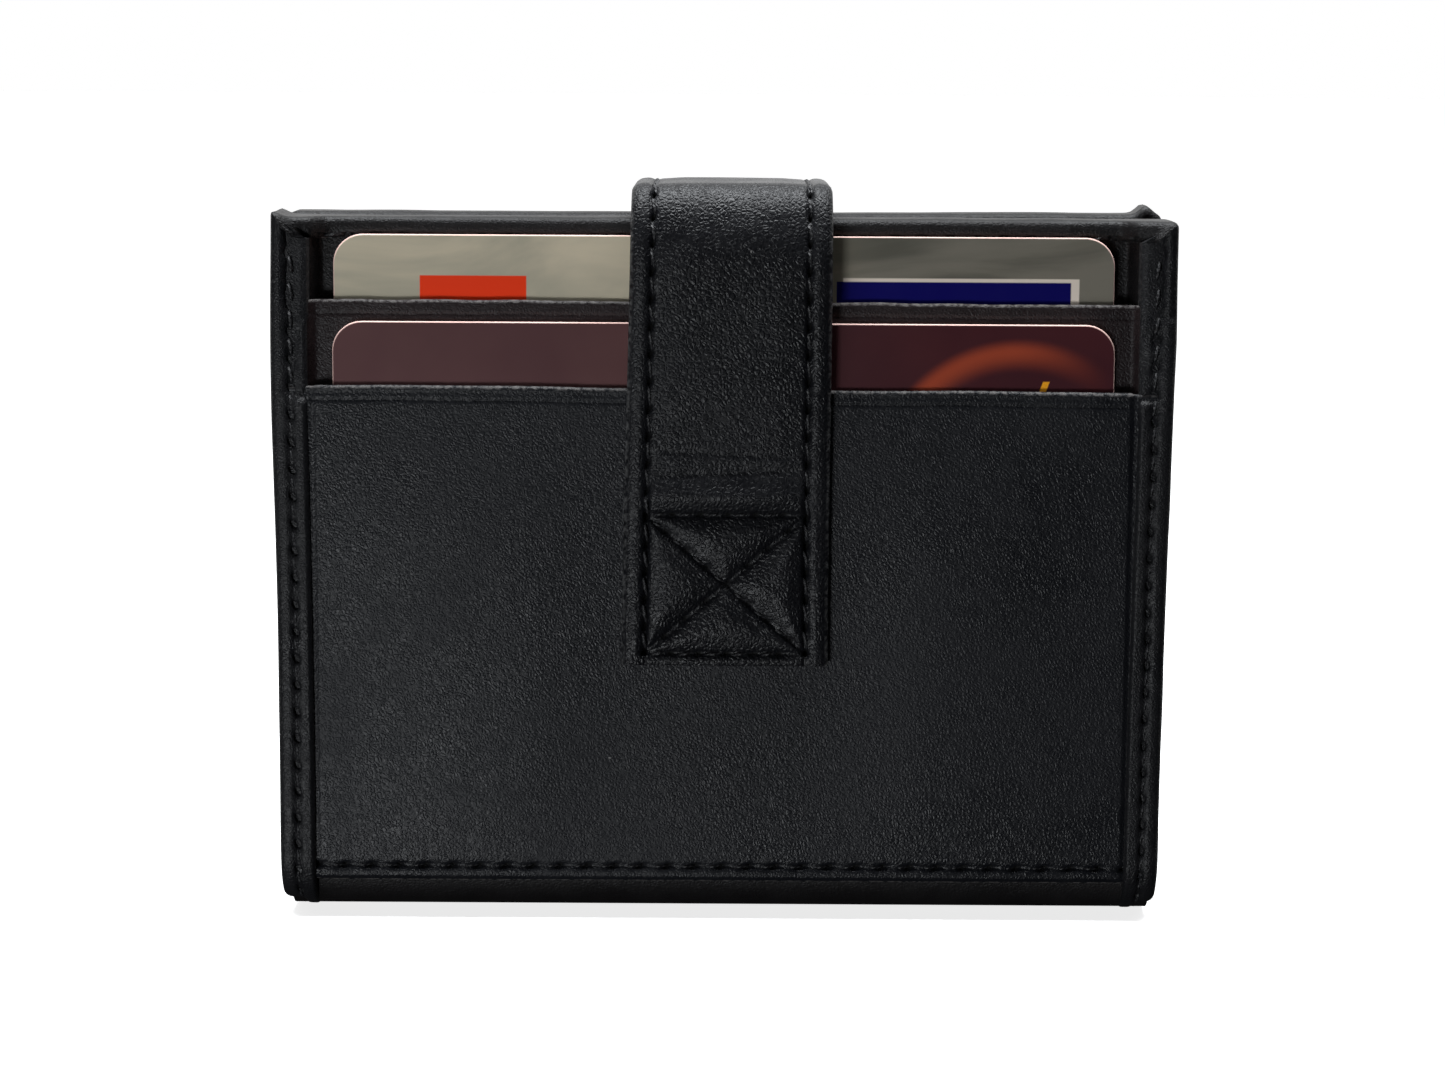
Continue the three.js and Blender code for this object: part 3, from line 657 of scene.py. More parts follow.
# Dents are (along the edge, in from it, half length, half width, depth), all in mm.
DENTS = {
    "front_left": [(3.4, 2.0, 0.7, 0.42, 1.1), (9.6, 3.0, 1.1, 0.5, 0.30), (8.2, 2.1, 0.5, 0.5, 0.5),
                   (10.6, 3.4, 0.5, 0.9, 0.35), (19.4, 3.3, 0.5, 0.8, 0.40), (13.5, 2.6, 2.4, 0.4, 0.2)],
    "front_right": [(3.0, 2.1, 1.7, 0.55, 1.15), (9.0, 2.6, 0.45, 1.0, 0.45), (10.2, 1.0, 0.5, 1.2, 0.25),
                    (19.2, 3.0, 0.45, 1.1, 0.55), (20.6, 2.0, 0.6, 0.7, 0.3), (14.6, 3.2, 2.0, 0.4, 0.2)],
    "back_left": [], "back_right": []}
SINKS = {"front": [(TOP - 58.6, 2.6, 0.45), (TOP - 68.4, 3.0, 0.75)], "back": []}
CORNER = {"front_left": 0.4, "front_right": 0.7, "back_left": 1.0, "back_right": 0.8}
SEWN_FROM = {"front_left": 0.55, "front_right": 0.85, "back_left": 0.0, "back_right": 0.0}
LEAN = {"front_left": 0.45, "front_right": -0.45, "back_left": 0.4, "back_right": -0.4}
print("front binding stands", -BAND_FACE, "mm out at the bottom,", round(float(front_depth(TOP)), 2),
      "at the top")

# %% Make the four side bindings
EDGES = [("front", -1, "left"), ("front", -1, "right"), ("back", 1, "left"), ("back", 1, "right")]
for number, (name, side, hand) in enumerate(EDGES):
    x = -HALF if hand == "left" else HALF
    if name == "front":
        line, inner = binding_lines(side, x, front_depth, -INSIDE_FRONT, 0.2)
    else:
        line, inner = binding_lines(side, x, back_depth, INSIDE_BACK)
    reach = BAND - 0.25 + (0.25 if hand == "left" else 0.45) * ease((70.0 - line[:, 2]) / 60.0)
    edge = f"{name}_{hand}"
    grid, edge_and_hole_shade = folded_edge(line, inner, np.array([-np.sign(x), 0, 0]), reach, 11 + number, DENTS[edge],
                             mitres=[0], sinks=SINKS[name], lean=LEAN[edge], sewn_from=SEWN_FROM[edge])
    grid = round_corner(grid, np.sign(x), TOP, 1, CORNER[edge])
    grid = round_corner(grid, np.sign(x), 0.0, -1, 2.6)
    grid = spread(grid)
    made = piece(f"{name}_edge_{hand}", lifted(grid) if name == "back" else pointed(grid), edge_and_hole_shade)
    hinge(made)
    finish_piece(made, EDGING, "outer_leather", f"{name}_binding_{hand}")

# %% [markdown]
# ### The top hems
# The cover leather is turned over the top edge and stitched, so it is the same folded strip lying down. In
# front it has to stay behind the upper card, and comes forward only beyond the card's ends, to meet the
# bindings at the mitres.

# %% Make the two hems
HEM = TOP - corners("front_top_hem")[0][2]
for name, side in (("front", -1), ("back", 1)):
    x = steps(-HALF, HALF, 0.4)
    rise = 2.0 * ease((abs(x) - 43.2) / 2.4) + 1.25 * ease((abs(x) - 45.6) / 3.0)
    depth = 6.5 + rise if name == "front" else BACK_FACE + 0.5 + 0.4 * ease((abs(x) - 43.0) / 2.4)
    inside = -INSIDE_FRONT if name == "front" else INSIDE_BACK
    line = np.stack([x, side * depth, np.full_like(x, TOP)], axis=1)
    inner = np.stack([x, np.full_like(x, side * inside), np.full_like(x, TOP)], axis=1)
    grid, edge_and_hole_shade = folded_edge(line, inner, np.array([0, 0, -1.0]), HEM, 21 + side, mitres=[0, -1],
                             hollow=0.10, thick=0.55, sewn_from=HALF - 44.6 + PITCH / 2)
    for hand, sign in (("left", -1), ("right", 1)):
        grid = round_corner(grid, sign, TOP, 1, CORNER[f"{name}_{hand}"])
    grid = spread(grid)
    made = piece(f"{name}_hem", lifted(grid) if name == "back" else pointed(grid), edge_and_hole_shade)
    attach(made, f"{name}_cover")
    # The hems take the same darker copy of the leather that elsewhere paints shade.
    finish_piece(made, SHADED_LEATHER, "outer_leather", f"{name}_top_hem")

# %% [markdown]
# ## Leather sheets
# The cover leather, the pockets and the lining are sheets: wide, a bit under a millimetre thick, and cut
# with a rounded edge. Each is worked out as a line down the sheet, top to bottom, repeated at many places
# across, with its details, such as a crease or a seam, pressed into the face only.

# %% A sheet from its side view
def sheet(x, y, z, thick, side, relief=0.0):
    """Loops of a sheet. y and z (places across, points down) are its face from the top to the bottom. The
    back is the same line moved by thick along the line's own normal; relief lifts the face alone."""
    x = np.broadcast_to(x[:, None], y.shape)
    ty, tz = np.gradient(y, axis=1), np.gradient(z, axis=1)
    long = np.maximum(np.hypot(ty, tz), 1e-9)
    into = np.stack([0 * ty, side * tz / long, -side * ty / long], axis=-1)
    base = np.stack([x, y, z], axis=-1)
    outer, inner = base - into * np.asarray(relief)[..., None], (base + into * thick)[:, ::3]
    return skins(outer, inner), cut_edge(outer, inner)


def across(reach, gap=2.0, fine_from=42.5, fine=0.3):
    """Places across a sheet: gap apart in the middle and fine apart near its sides."""
    middle = steps(-fine_from, fine_from, gap)
    return np.concatenate([steps(-reach, -fine_from, fine)[:-1], middle, steps(fine_from, reach, fine)[1:]])


# %% Make the cover leather, front and back
REACH = HALF - 0.9
for name, side, depth in (("front", -1, -COVER_FACE), ("back", 1, BACK_FACE)):
    x = across(REACH)
    low = steps(12.0, FOLD_Z, 0.5)
    turn = np.linspace(0, np.pi / 2, 18)[1:]
    under = 11                           # points along the flat under the spine
    z = np.concatenate([steps(TOP - 0.8, 12.0, 1.5)[:-1], low, FOLD_Z - FOLD_R * np.sin(turn),
                        np.full(under, FOLD_Z - FOLD_R)])
    outmost = FOLD_Y + FOLD_R
    upper = depth + (outmost - depth) * ease((11.7 - z) / 4.4)
    y = np.where(z >= FOLD_Z, upper, 0)
    y[-under - len(turn):-under] = FOLD_Y + FOLD_R * np.cos(turn)
    y[-under:] = steps(FOLD_Y, 0, FOLD_Y / under)[1:]
    step_out = 2.2 if name == "front" else 0.0
    forward = step_out * ease((abs(x) - 44.2) / 1.4)[:, None] * ease((z - 7.3) / 6)[None]
    uneven = 0.07 * wander(31 + side)(x[:, None], z[None]) * ease((z - 6) / 6)
    all_z = np.broadcast_to(z, (len(x), len(z)))
    grid, edge_and_hole_shade = sheet(x, side * (y[None] + forward), all_z, 0.95, side, uneven)
    made = piece(f"{name}_leather", grid, edge_and_hole_shade)
    hinge(made)
    hidden = [f"{name}_cover_leather", f"{name}_fold_leather"]
    if name == "back":
        hidden.append("spine_leather")
    # In front the cover leather takes the darker copy: painted shade behind the cards and round the spine.
    finish_piece(made, SHADED_LEATHER if name == "front" else OUTER, "outer_leather", *hidden)

# %% [markdown]
# ### The two card pockets
# Each pocket is a panel with a cut top edge, creased a millimetre below it by a hot tool. The lower panel is
# sewn through near the bottom, and its lower edge stands a little off the dark spine. The sides dive under
# the bindings. Over the cards the leather is very slightly crowned, but under the strap it is pressed flat.

# %% Make the pockets
def pocket_side(x, z, depth):
    """Distance out of a pocket's face: its depth, and near its sides forward to the binding's underside."""
    reach_out = -BAND_FACE - 0.72 - depth
    return depth + np.maximum(reach_out, 0) * ease((abs(x) - 44.7) / 1.0)


LOWER_TOP, UPPER_TOP = corners("lower_card_pocket")[1][2], corners("upper_card_pocket")[1][2]
LOWER_SEAM = 5.85
LOWER_END = corners("lower_card_pocket")[0][2]
x = steps(-REACH, REACH, 0.25)[:, None]
top = LOWER_TOP + 0.25 - 0.0045 * x + 0.08 * wander(41)(x, 0.0)
drop = np.concatenate([steps(0, 2.2, 0.13), steps(2.2, 50.5, 1.4)[1:-1],
                       steps(50.5, LOWER_TOP - LOWER_END, 0.16)])[None]
z = top - drop * (top - LOWER_END) / (LOWER_TOP - LOWER_END)
since = (x + PITCH / 2) % PITCH - PITCH / 2
crown = 0.33 * bell(abs(x) - 26, 15) * ease(z / 14) * ease((top - z) / 18) * ease((abs(x - 0.7) - 7) / 16)
seam_z = LOWER_SEAM + 0.08 * np.sin(2 * np.pi * x / PITCH)
hot_line = 0.10 * bell(top - z - 1.15, 0.20) + 0.05 * bell(top - z - 0.35, 0.3)
holes = needle_hole(since, z - seam_z, 0.3)
relief = (crown + 0.06 * wander(42, 60, 14)(x, z) - hot_line
          - 0.26 * (1 + 0.4 * np.cos(2 * np.pi * x / PITCH)) * bell(z - seam_z, 0.36)
          - 0.40 * holes - 0.3 * ease((LOWER_END + 0.55 - z) / 0.55) ** 2
          - 0.22 * ease((abs(x) - 44.55) / 0.3))
y = -np.broadcast_to(pocket_side(x, z, -LOWER_FACE), z.shape)
grid, edge_and_hole_shade = sheet(x[:, 0], y, z, 0.9, -1, relief)
# Needle holes get -1, so black is painted there as their shade.
edge_and_hole_shade[:, :holes.shape[1]] = -holes
lower_pocket = piece("lower_pocket", grid, edge_and_hole_shade)
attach(lower_pocket, "front_cover")
finish_piece(lower_pocket, OUTER, "outer_leather", "lower_card_pocket")

x = across(REACH, 1.0)[:, None]
top = UPPER_TOP + 0.05 - 0.0035 * x + 0.08 * wander(43)(x, 0.0)
drop = np.concatenate([steps(0, 2.2, 0.13), steps(2.2, UPPER_TOP - 18.1, 1.4)[1:]])[None]
z = top - drop
relief = 0.05 * wander(44, 60, 14)(x, z) - 0.09 * bell(top - z - 1.15, 0.20)
y = -np.broadcast_to(pocket_side(x, z, -UPPER_FACE) - 0.95 * ease((abs(x) - 44.7) / 1.0), z.shape)
grid, edge_and_hole_shade = sheet(x[:, 0], y, z, 0.8, -1, relief)
upper_pocket = piece("upper_pocket", grid, edge_and_hole_shade)
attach(upper_pocket, "front_cover")
finish_piece(upper_pocket, INNER, "inner_leather", "upper_card_pocket")

# %% [markdown]
# ### Lining and inner pockets
# Inside, a cloth lining runs down each cover and over the spine, and two leather pockets lie on it. They are
# the same sheets, looked at from the other side, so the sign of their side view is turned round.

# %% Make the lining and the inner pockets
for name, side in (("front", -1), ("back", 1)):
    near = -face("front_lining", 1) if name == "front" else face("back_lining", 0)
    x = across(REACH, 4.0)
    turn = np.linspace(0, np.pi / 2, 12)[1:]
    z = np.concatenate([steps(TOP - 1.0, 5.6, 2.0), 5.6 - 4.0 * np.sin(turn), np.full(6, 1.6)])
    y = np.concatenate([np.full(len(z) - 17, near), near - 1.5 * (1 - np.cos(turn)),
                        np.linspace(near - 1.5, 0, 7)[1:]])
    uneven = 0.05 * wander(51 + side)(x[:, None], z[None])
    shape = (len(x), len(z))
    grid, edge_and_hole_shade = sheet(x, np.broadcast_to(side * y, shape), np.broadcast_to(z, shape), 0.45, -side, uneven)
    made = piece(f"{name}_lining_cloth", grid, edge_and_hole_shade)
    hinge(made)
    finish_piece(made, CLOTH, "lining_cloth", f"{name}_lining", *(["spine_lining"] if name == "back" else []))
    cut = (x[-1] - x[0], float(np.hypot(np.diff(y), np.diff(z)).sum()))
    print("cut to", round(cut[0], 1), "by", round(cut[1], 1), "mm")
    for level in ("upper", "lower"):
        node = f"{name}_inner_pocket_{level}"
        low, high = corners(node)
        near_face = -high[1] if name == "front" else low[1]
        x = across(REACH, 3.0)[:, None]
        top = high[2] + 0.06 * wander(61 + side)(x, 0.0)
        drop = np.concatenate([steps(0, 2.2, 0.15), steps(2.2, high[2] - 8.1, 2.0)[1:]])[None]
        z = top - drop
        relief = 0.04 * wander(63 + side)(x, z) - 0.09 * bell(top - z - 1.2, 0.22)
        grid, edge_and_hole_shade = sheet(x[:, 0], np.full(z.shape, side * near_face), z, 0.55, -side, relief)
        made = piece(f"{name}_inside_{level}_pocket", grid, edge_and_hole_shade)
        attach(made, f"{name}_cover")
        finish_piece(made, INNER, "inner_leather", node)

# %% [markdown]
# ## The strap
# The strap is two layers sewn back to back. Its end is sewn to the front in a box with a cross; from there
# it rises, bends over the top, and comes down behind to the snap. It opens at two bends and swings a little
# above the box, and a piece can bend across one joint only, so it is made as three meshes that meet where
# nothing turns. Their one path, from the sewn end to the tip, keeps them in line.

# %% The strap's path and width
ANCHOR_LOW, ANCHOR_HIGH = corners("strap_anchor_leather")
TAB_LOW, TAB_HIGH = corners("strap_tab_leather")
TOP_HIGH = corners("strap_top_leather")[1]
STRAP_X = (ANCHOR_LOW[0] + ANCHOR_HIGH[0]) / 2
STRAP_FACE, STRAP_END = ANCHOR_LOW[1], ANCHOR_LOW[2]
TIP_FACE, TIP_END = TAB_HIGH[1], TAB_LOW[2]
CREST, BEND, LEAD = TOP_HIGH[2], 5.0, 9.0     # LEAD: the height over which the front bend leans back
STRAP_THICK = 1.7                        # two layers
WIDE, NARROW = 10.9, 10.45               # half widths at the sewn end and at the bend
TIP_ROUND = 8.0                          # corner radius of the tip
STRAP_SEAM = 2.0                         # from the strap's edge to its seam
LEVEL = (TIP_FACE - BEND) - (STRAP_FACE + BEND)
DROP = CREST - BEND - TIP_END
turn = np.linspace(0, np.pi / 2, 181)[1:]
BENT = np.concatenate([
    np.stack([np.full(400, STRAP_FACE), np.linspace(STRAP_END, CREST - LEAD, 400)], -1),
    np.stack([STRAP_FACE + BEND - BEND * np.cos(turn), CREST - LEAD + LEAD * np.sin(turn)], -1),
    np.stack([STRAP_FACE + BEND + LEVEL * np.linspace(0, 1, 40)[1:], np.full(39, CREST)], -1),
    np.stack([TIP_FACE - BEND + BEND * np.sin(turn), CREST - BEND + BEND * np.cos(turn)], -1),
    np.stack([np.full(300, TIP_FACE), np.linspace(CREST - BEND, TIP_END, 301)[1:]], -1)])
RUN = np.concatenate([[0.0], np.cumsum(np.linalg.norm(np.diff(BENT, axis=0), axis=1))])
MARKS = RUN[[0, 399, 579, 618, 798, -1]]      # where it starts, bends, lies level, bends, hangs and ends


def strap_path(d):
    """Point (y, z) and outward normal of the strap's face, d mm from its sewn end: up, round a quarter of an
    ellipse, across, round a quarter of a circle, and down."""
    d = np.asarray(d, float)
    at, ahead, behind = (np.stack([np.interp(d + shift, RUN, BENT[:, axis]) for axis in (0, 1)], -1)
                         for shift in (0.0, 0.25, -0.25))
    way = unit(ahead - behind)
    return at, np.stack([-way[..., 1], way[..., 0]], -1)


def strap_half(d):
    """Half the strap's width: it narrows evenly up to the bend, and its tip is rounded."""
    half = WIDE + (NARROW - WIDE) * np.clip(d / MARKS[2], 0, 1)
    left = np.clip(MARKS[5] - d, 0, TIP_ROUND)
    return half - TIP_ROUND + np.sqrt(np.maximum(TIP_ROUND ** 2 - (TIP_ROUND - left) ** 2, 0))


def strap_middle(d):
    """x of the strap's middle line, which leans slightly to the right as it rises."""
    return STRAP_X - 0.40 + 0.55 * ease(d / MARKS[2]) - 0.25 * ease((d - MARKS[4]) / DROP)


def strap_points(d, a, h):
    """Points of the strap at distance d, a mm right of its middle line and h mm out of its face."""
    (at, normal), shape = strap_path(d), np.broadcast(d, a, h).shape
    x = np.broadcast_to(strap_middle(d) + a, shape)
    y = np.broadcast_to(at[..., 0] + normal[..., 0] * h, shape)
    z = np.broadcast_to(at[..., 1] + normal[..., 1] * h, shape)
    return np.stack([x, y, z], -1)


print("strap runs", [round(float(m), 2) for m in MARKS], "mm; tip at z", round(TIP_END, 2))

# %% [markdown]
# ### Seams and padding on the strap
# A double layer swells between its seams and is pulled flat at them. The height of the face is therefore
# built from the distance to the nearest seam: a rounded swelling away from it, a narrow hollow on it, and a
# deeper dent at each needle hole. In the box, the cross makes four small cushions.

# %% The strap's face
BOX_LOW, BOX_HIGH = 1.3, 16.8            # the box seam, from the strap's sewn end
strap_slack = wander(71, 30, 6)


def line_distance(d, a, start, end):
    """Distance to a straight seam, along it, and its length: start and end are (d, a)."""
    run = np.array(end) - np.array(start)
    length = np.hypot(*run)
    run = run / length
    along = (d - start[0]) * run[0] + (a - start[1]) * run[1]
    beside = (d - start[0]) * run[1] - (a - start[1]) * run[0]
    past = np.maximum(np.maximum(-along, along - length), 0)
    return np.hypot(beside, past), along, beside


def strap_face(d, a):
    """Height of the strap's face at (d, a), and 1 where there is a needle hole. Each line is one feature."""
    half = strap_half(d)
    round_tip = np.clip(TIP_ROUND - (MARKS[5] - d), 0, None)
    to_side = half - abs(a)
    straight = strap_half(np.minimum(d, MARKS[5] - TIP_ROUND))
    in_corner = (round_tip > 0) & (abs(a) > straight - TIP_ROUND)
    e = np.where(in_corner, TIP_ROUND - np.hypot(round_tip, abs(a) - straight + TIP_ROUND),
                 np.minimum(to_side, MARKS[5] - d))
    e_any = np.minimum(e, d)
    h = -0.12 * np.clip(1 - e_any / 0.50, 0, 1) ** 2                       # rounded edge
    h = h + 0.10 * bell(e - 1.0, 0.6)                                      # roll outside the seam
    bite = 1 + 0.35 * np.cos(2 * np.pi * (d - BOX_LOW) / PITCH)
    waver = 0.04 * np.sin(2 * np.pi * (d - BOX_LOW) / PITCH)
    sewn = ease((d - BOX_LOW + 0.3) / 0.3)
    h = h - 0.30 * bite * bell(e - STRAP_SEAM - waver, 0.36) * sewn        # side seams
    since = (d - BOX_LOW + PITCH / 2) % PITCH - PITCH / 2
    holed = needle_hole(since, e - STRAP_SEAM - waver, np.where(a < 0, 0.35, -0.35)) * sewn * (round_tip == 0)
    h = h - 0.40 * holed
    free = ease((d - BOX_HIGH - 0.2) / 2.0)
    h = h + 0.12 * ease((e - 2.3) / 3.0) * free                            # slight swelling of the free strap
    boxed = WIDE - STRAP_SEAM
    seams = [((BOX_LOW, -boxed), (BOX_LOW, boxed)), ((BOX_HIGH, -boxed), (BOX_HIGH, boxed)),
             ((BOX_HIGH, -boxed), (BOX_LOW, boxed)), ((BOX_LOW, -boxed), (BOX_HIGH, boxed))]
    nearest = np.where(e > STRAP_SEAM, e - STRAP_SEAM, 9.0)
    holes = 0.0 * h
    for start, end in seams:
        off, along, _ = line_distance(d, a, start, end)
        nearest = np.minimum(nearest, off)
        beat = (along + PITCH / 2) % PITCH - PITCH / 2
        holes = np.maximum(holes, needle_hole(beat, off, 0.0, 0.40, 0.20))
    within = ((d > BOX_LOW) & (d < BOX_HIGH) & (e > STRAP_SEAM)).astype(float)
    cushion = 0.50 * (1 - bell(nearest, 1.5)) - 0.10
    beside = line_distance(d, a, *seams[2])[2]
    h = h + within * (cushion + 0.16 * bell(beside + 0.62, 0.42))          # cushions, one diagonal proud
    on_box = (nearest < 3) & (d < BOX_HIGH + 1.5) & (e > STRAP_SEAM - 0.4)
    h = h - np.where(on_box, 0.26 * bell(nearest, 0.34) + 0.36 * holes, 0)
    holed = np.maximum(holed, np.where(on_box, holes, 0))
    bow = 0.62 * bell(d - 18.7, 1.3) * (1 - 0.75 * (a / WIDE) ** 2)
    h = h + bow * ease((e - 1.2) / 1.5)                                    # the bow above the box
    h = h - 0.16 * bell(d - 21.3 - 0.05 * a, 0.5) * ease((e - 2.2) / 2)    # and its creases
    h = h - 0.10 * bell(d - 23.4 + 0.04 * a, 0.35) * ease((e - 2.2) / 3)
    return h + 0.05 * strap_slack(a, d) * ease(e / 2), holed


print("height at the middle of the box:", round(float(strap_face(np.array(9.0), np.array(0.2))[0]), 3), "mm")

# %% Make the strap's three lengths
BREAKS = [0.0, 22.7, float(MARKS[2] + LEVEL / 2), float(MARKS[5])]
LENGTHS = [("strap_root", "front_cover", "strap_leg", (STRAP_FACE, 46.3), (STRAP_FACE, 51.1),
            ("strap_anchor_leather", "strap_anchor_lining")),
           ("strap_rise", "strap_leg", "strap_top", (STRAP_FACE + 0.85, CREST - BEND),
            (STRAP_FACE + BEND, CREST - 0.85),
            ("strap_leg_leather", "strap_leg_lining", "strap_front_bend_leather", "strap_front_bend_lining",
             "strap_top_leather", "strap_top_lining")),
           ("strap_flap", "strap_top", "strap_tab", (TIP_FACE - BEND, CREST - 0.85),
            (TIP_FACE - 0.85, CREST - BEND),
            ("strap_rear_bend_leather", "strap_rear_bend_lining", "strap_tab_leather", "strap_tab_lining"))]
inset = np.concatenate([steps(0.0, 1.0, 0.14), steps(1.0, 3.4, 0.12)[1:]]) / WIDE
share = np.concatenate([inset - 1, steps(inset[-1] - 1, 1 - inset[-1], 0.34 / WIDE)[1:-1], (1 - inset)[::-1]])
for (name, a_body, b_body, start, end, nodes), first, last in zip(LENGTHS, BREAKS, BREAKS[1:]):
    d = steps(first, last, 0.2)
    if first == 0:
        d = np.concatenate([[0, 0.08, 0.2, 0.4, 0.7], steps(1.0, last, 0.2)])
    if last == BREAKS[-1]:
        tail = TIP_ROUND * (1 - np.sin(np.linspace(0, np.pi / 2, 40)))
        d = np.concatenate([steps(first, last - TIP_ROUND, 0.25)[:-1], last - tail])
    half = strap_half(d)[:, None]
    a = share[None] * half
    height, holes = strap_face(d[:, None], a)
    outer = strap_points(d[:, None], a, height)
    low = (share[::3])[None] * half
    rounded = 0.25 * np.clip(1 - (half - abs(low)) / 0.7, 0, 1) ** 2
    inner = strap_points(d[:, None], low, -STRAP_THICK + rounded)
    grid, edge_and_hole_shade = skins(outer, inner, arc=5, notch=0.30), cut_edge(outer, inner, arc=5)
    # Needle holes get -1, so black is painted there as their shade.
    edge_and_hole_shade[:, :holes.shape[1]] = -holes
    made = piece(name, grid, edge_and_hole_shade, v=d)
    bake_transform(made)
    finish_piece(made, STRAP, "outer_leather", *nodes)

# %% [markdown]
# ## Thread
# Each stitch that shows is a short, thick, twisted thread which comes up from one hole, lies in the hollow
# and goes down the next. A texture would be flat in the hollow, so each is a small capsule of a few dozen
# faces, all those of a seam in one mesh. A lockstitch lies slightly slantwise, every stitch the same way.

# %% Make a row of stitches
def stitch_row(name, at, along, out, slant=0.22, long=2.2, thick=0.38, sink=0.40, seed=5):
    """Capsules at the points at (k, 3), in mm: along is each one's direction, out the way out of the leather.
    A capsule is rings of eight points, radius sqrt(1 - s^4) of its middle; its ends dip by sink."""
    rng = np.random.default_rng(seed)
    k = len(at)
    along, out = unit(along), unit(out)
    beside = np.cross(out, along)
    lean = slant + rng.normal(0, 0.06, k)[:, None]
    along, beside = along * np.cos(lean) + beside * np.sin(lean), beside * np.cos(lean) - along * np.sin(lean)
    s = np.array([-0.98, -0.85, -0.5, 0, 0.5, 0.85, 0.98])
    radius = thick / 2 * np.sqrt(1 - s ** 4)
    turn = np.arange(8) * np.pi / 4
    size = 1 + rng.normal(0, 0.05, k)[:, None, None, None]
    centre = (at[:, None] + along[:, None] * (s * long / 2)[None, :, None] * size[..., 0]
              - out[:, None] * (sink * s ** 2)[None, :, None])
    ring = (beside[:, None, None] * np.cos(turn)[None, None, :, None]
            + out[:, None, None] * np.sin(turn)[None, None, :, None])
    points = centre[:, :, None] + ring * radius[None, :, None, None]
    base = (np.arange(k) * 56)[:, None, None]
    i, j = np.meshgrid(np.arange(6), np.arange(8), indexing="ij")
    nxt = (j + 1) % 8
    quads = np.stack([i * 8 + j, (i + 1) * 8 + j, (i + 1) * 8 + nxt, i * 8 + nxt], -1).reshape(1, -1, 4)
    ends = np.stack([np.arange(8), 48 + np.arange(8)[::-1]])[None]
    faces = (quads + base).reshape(-1, 4).tolist() + (ends + base).reshape(-1, 8).tolist()
    mesh = bpy.data.meshes.new(name)
    mesh.from_pydata((points.reshape(-1, 3) * MM).tolist(), [], faces)
    mesh.polygons.foreach_set("use_smooth", np.ones(len(mesh.polygons), bool))
    u = np.broadcast_to(turn[None, None] * thick / 2, (k, 7, 8))
    v = np.broadcast_to((s * long / 2)[None, :, None], (k, 7, 8))
    uv = np.stack([u, v], -1).reshape(-1, 2) * MM
    corner = np.zeros(len(mesh.loops), int)
    mesh.loops.foreach_get("vertex_index", corner)
    mesh.uv_layers.new(name="leather").data.foreach_set("uv", uv[corner].ravel())
    mesh.update()
    return link(name, mesh)


def holes_between(first, last):
    """Middles of the stitches between two places on a seam."""
    return np.arange(first + PITCH / 2, last - PITCH / 2 + 0.01, PITCH)


def at_length(line, lengths):
    """Points and directions of a line (n, 3) at these lengths along it."""
    run = np.concatenate([[0.0], np.cumsum(np.linalg.norm(np.diff(line, axis=0), axis=1))])
    point = np.stack([np.interp(lengths, run, line[:, axis]) for axis in range(3)], 1)
    ahead = np.stack([np.interp(lengths + 0.4, run, line[:, axis]) for axis in range(3)], 1)
    behind = np.stack([np.interp(lengths - 0.4, run, line[:, axis]) for axis in range(3)], 1)
    return point, unit(ahead - behind)


# %% Sew the bindings and the hems
for name, side, hand in EDGES:
    x = -HALF if hand == "left" else HALF
    inward = np.array([-np.sign(x), 0, 0])
    inside = -INSIDE_FRONT if name == "front" else INSIDE_BACK
    line, inner = binding_lines(side, x, front_depth if name == "front" else back_depth, inside)
    v = holes_between(PITCH, 84.0) + SEWN_FROM[f"{name}_{hand}"]
    face_at, face_along = at_length(line, v)
    shared = at_length(inner, np.interp(v, np.linspace(0, 84, 60), np.linspace(0, 82, 60)))
    out = unit(np.cross(face_along, np.array([1.0, 0, 0])))
    out = out * np.sign((out * (face_at - shared[0])).sum(1))[:, None]
    at = face_at + inward * SEAM_IN - out * 0.26
    upright = v < 70
    rear_out = np.broadcast_to(np.array([0, -side, 0.0]), shared[1][upright].shape)
    rear = shared[0][upright] + inward * SEAM_IN - rear_out * 0.14
    made = stitch_row(f"{name}_edge_stitches_{hand}", spread(np.concatenate([at, rear])),
                      np.concatenate([face_along, shared[1][upright]]), np.concatenate([out, rear_out]),
                      slant=LEAN[f"{name}_{hand}"] * 0.4, seed=81)
    hinge(made)
    finish_piece(made, THREAD, "thread", f"{name}_seam_{hand}")
for name, side in (("front", -1), ("back", 1)):
    x = holes_between(-44.6, 44.6)
    depth = 6.5 if name == "front" else BACK_FACE + 0.5
    inside = -INSIDE_FRONT if name == "front" else INSIDE_BACK
    at = np.stack([x, np.full_like(x, side * (depth - 0.12)), np.full_like(x, TOP - SEAM_IN)], 1)
    rear = at.copy()
    rear[:, 1] = side * (inside + 0.14)
    out = np.array([[0, side, 0.0]]) + 0 * at
    made = stitch_row(f"{name}_hem_stitches", np.concatenate([at, rear]),
                      np.tile([1.0, 0, 0], (2 * len(x), 1)), np.concatenate([out, -out]),
                      thick=0.34, slant=0.12, seed=83)
    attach(made, f"{name}_cover")
    finish_piece(made, THREAD, "thread", f"{name}_hem_seam")
x = holes_between(-44.5, 44.5)
at = np.stack([x, np.full_like(x, LOWER_FACE + 0.22), np.full_like(x, LOWER_SEAM)], 1)
made = stitch_row("pocket_bottom_stitches", at, np.tile([1.0, 0, 0], (len(x), 1)),
                  np.tile([0, -1.0, 0], (len(x), 1)), slant=0.12, seed=84)
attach(made, "front_cover")
finish_piece(made, THREAD, "thread", "lower_pocket_seam")

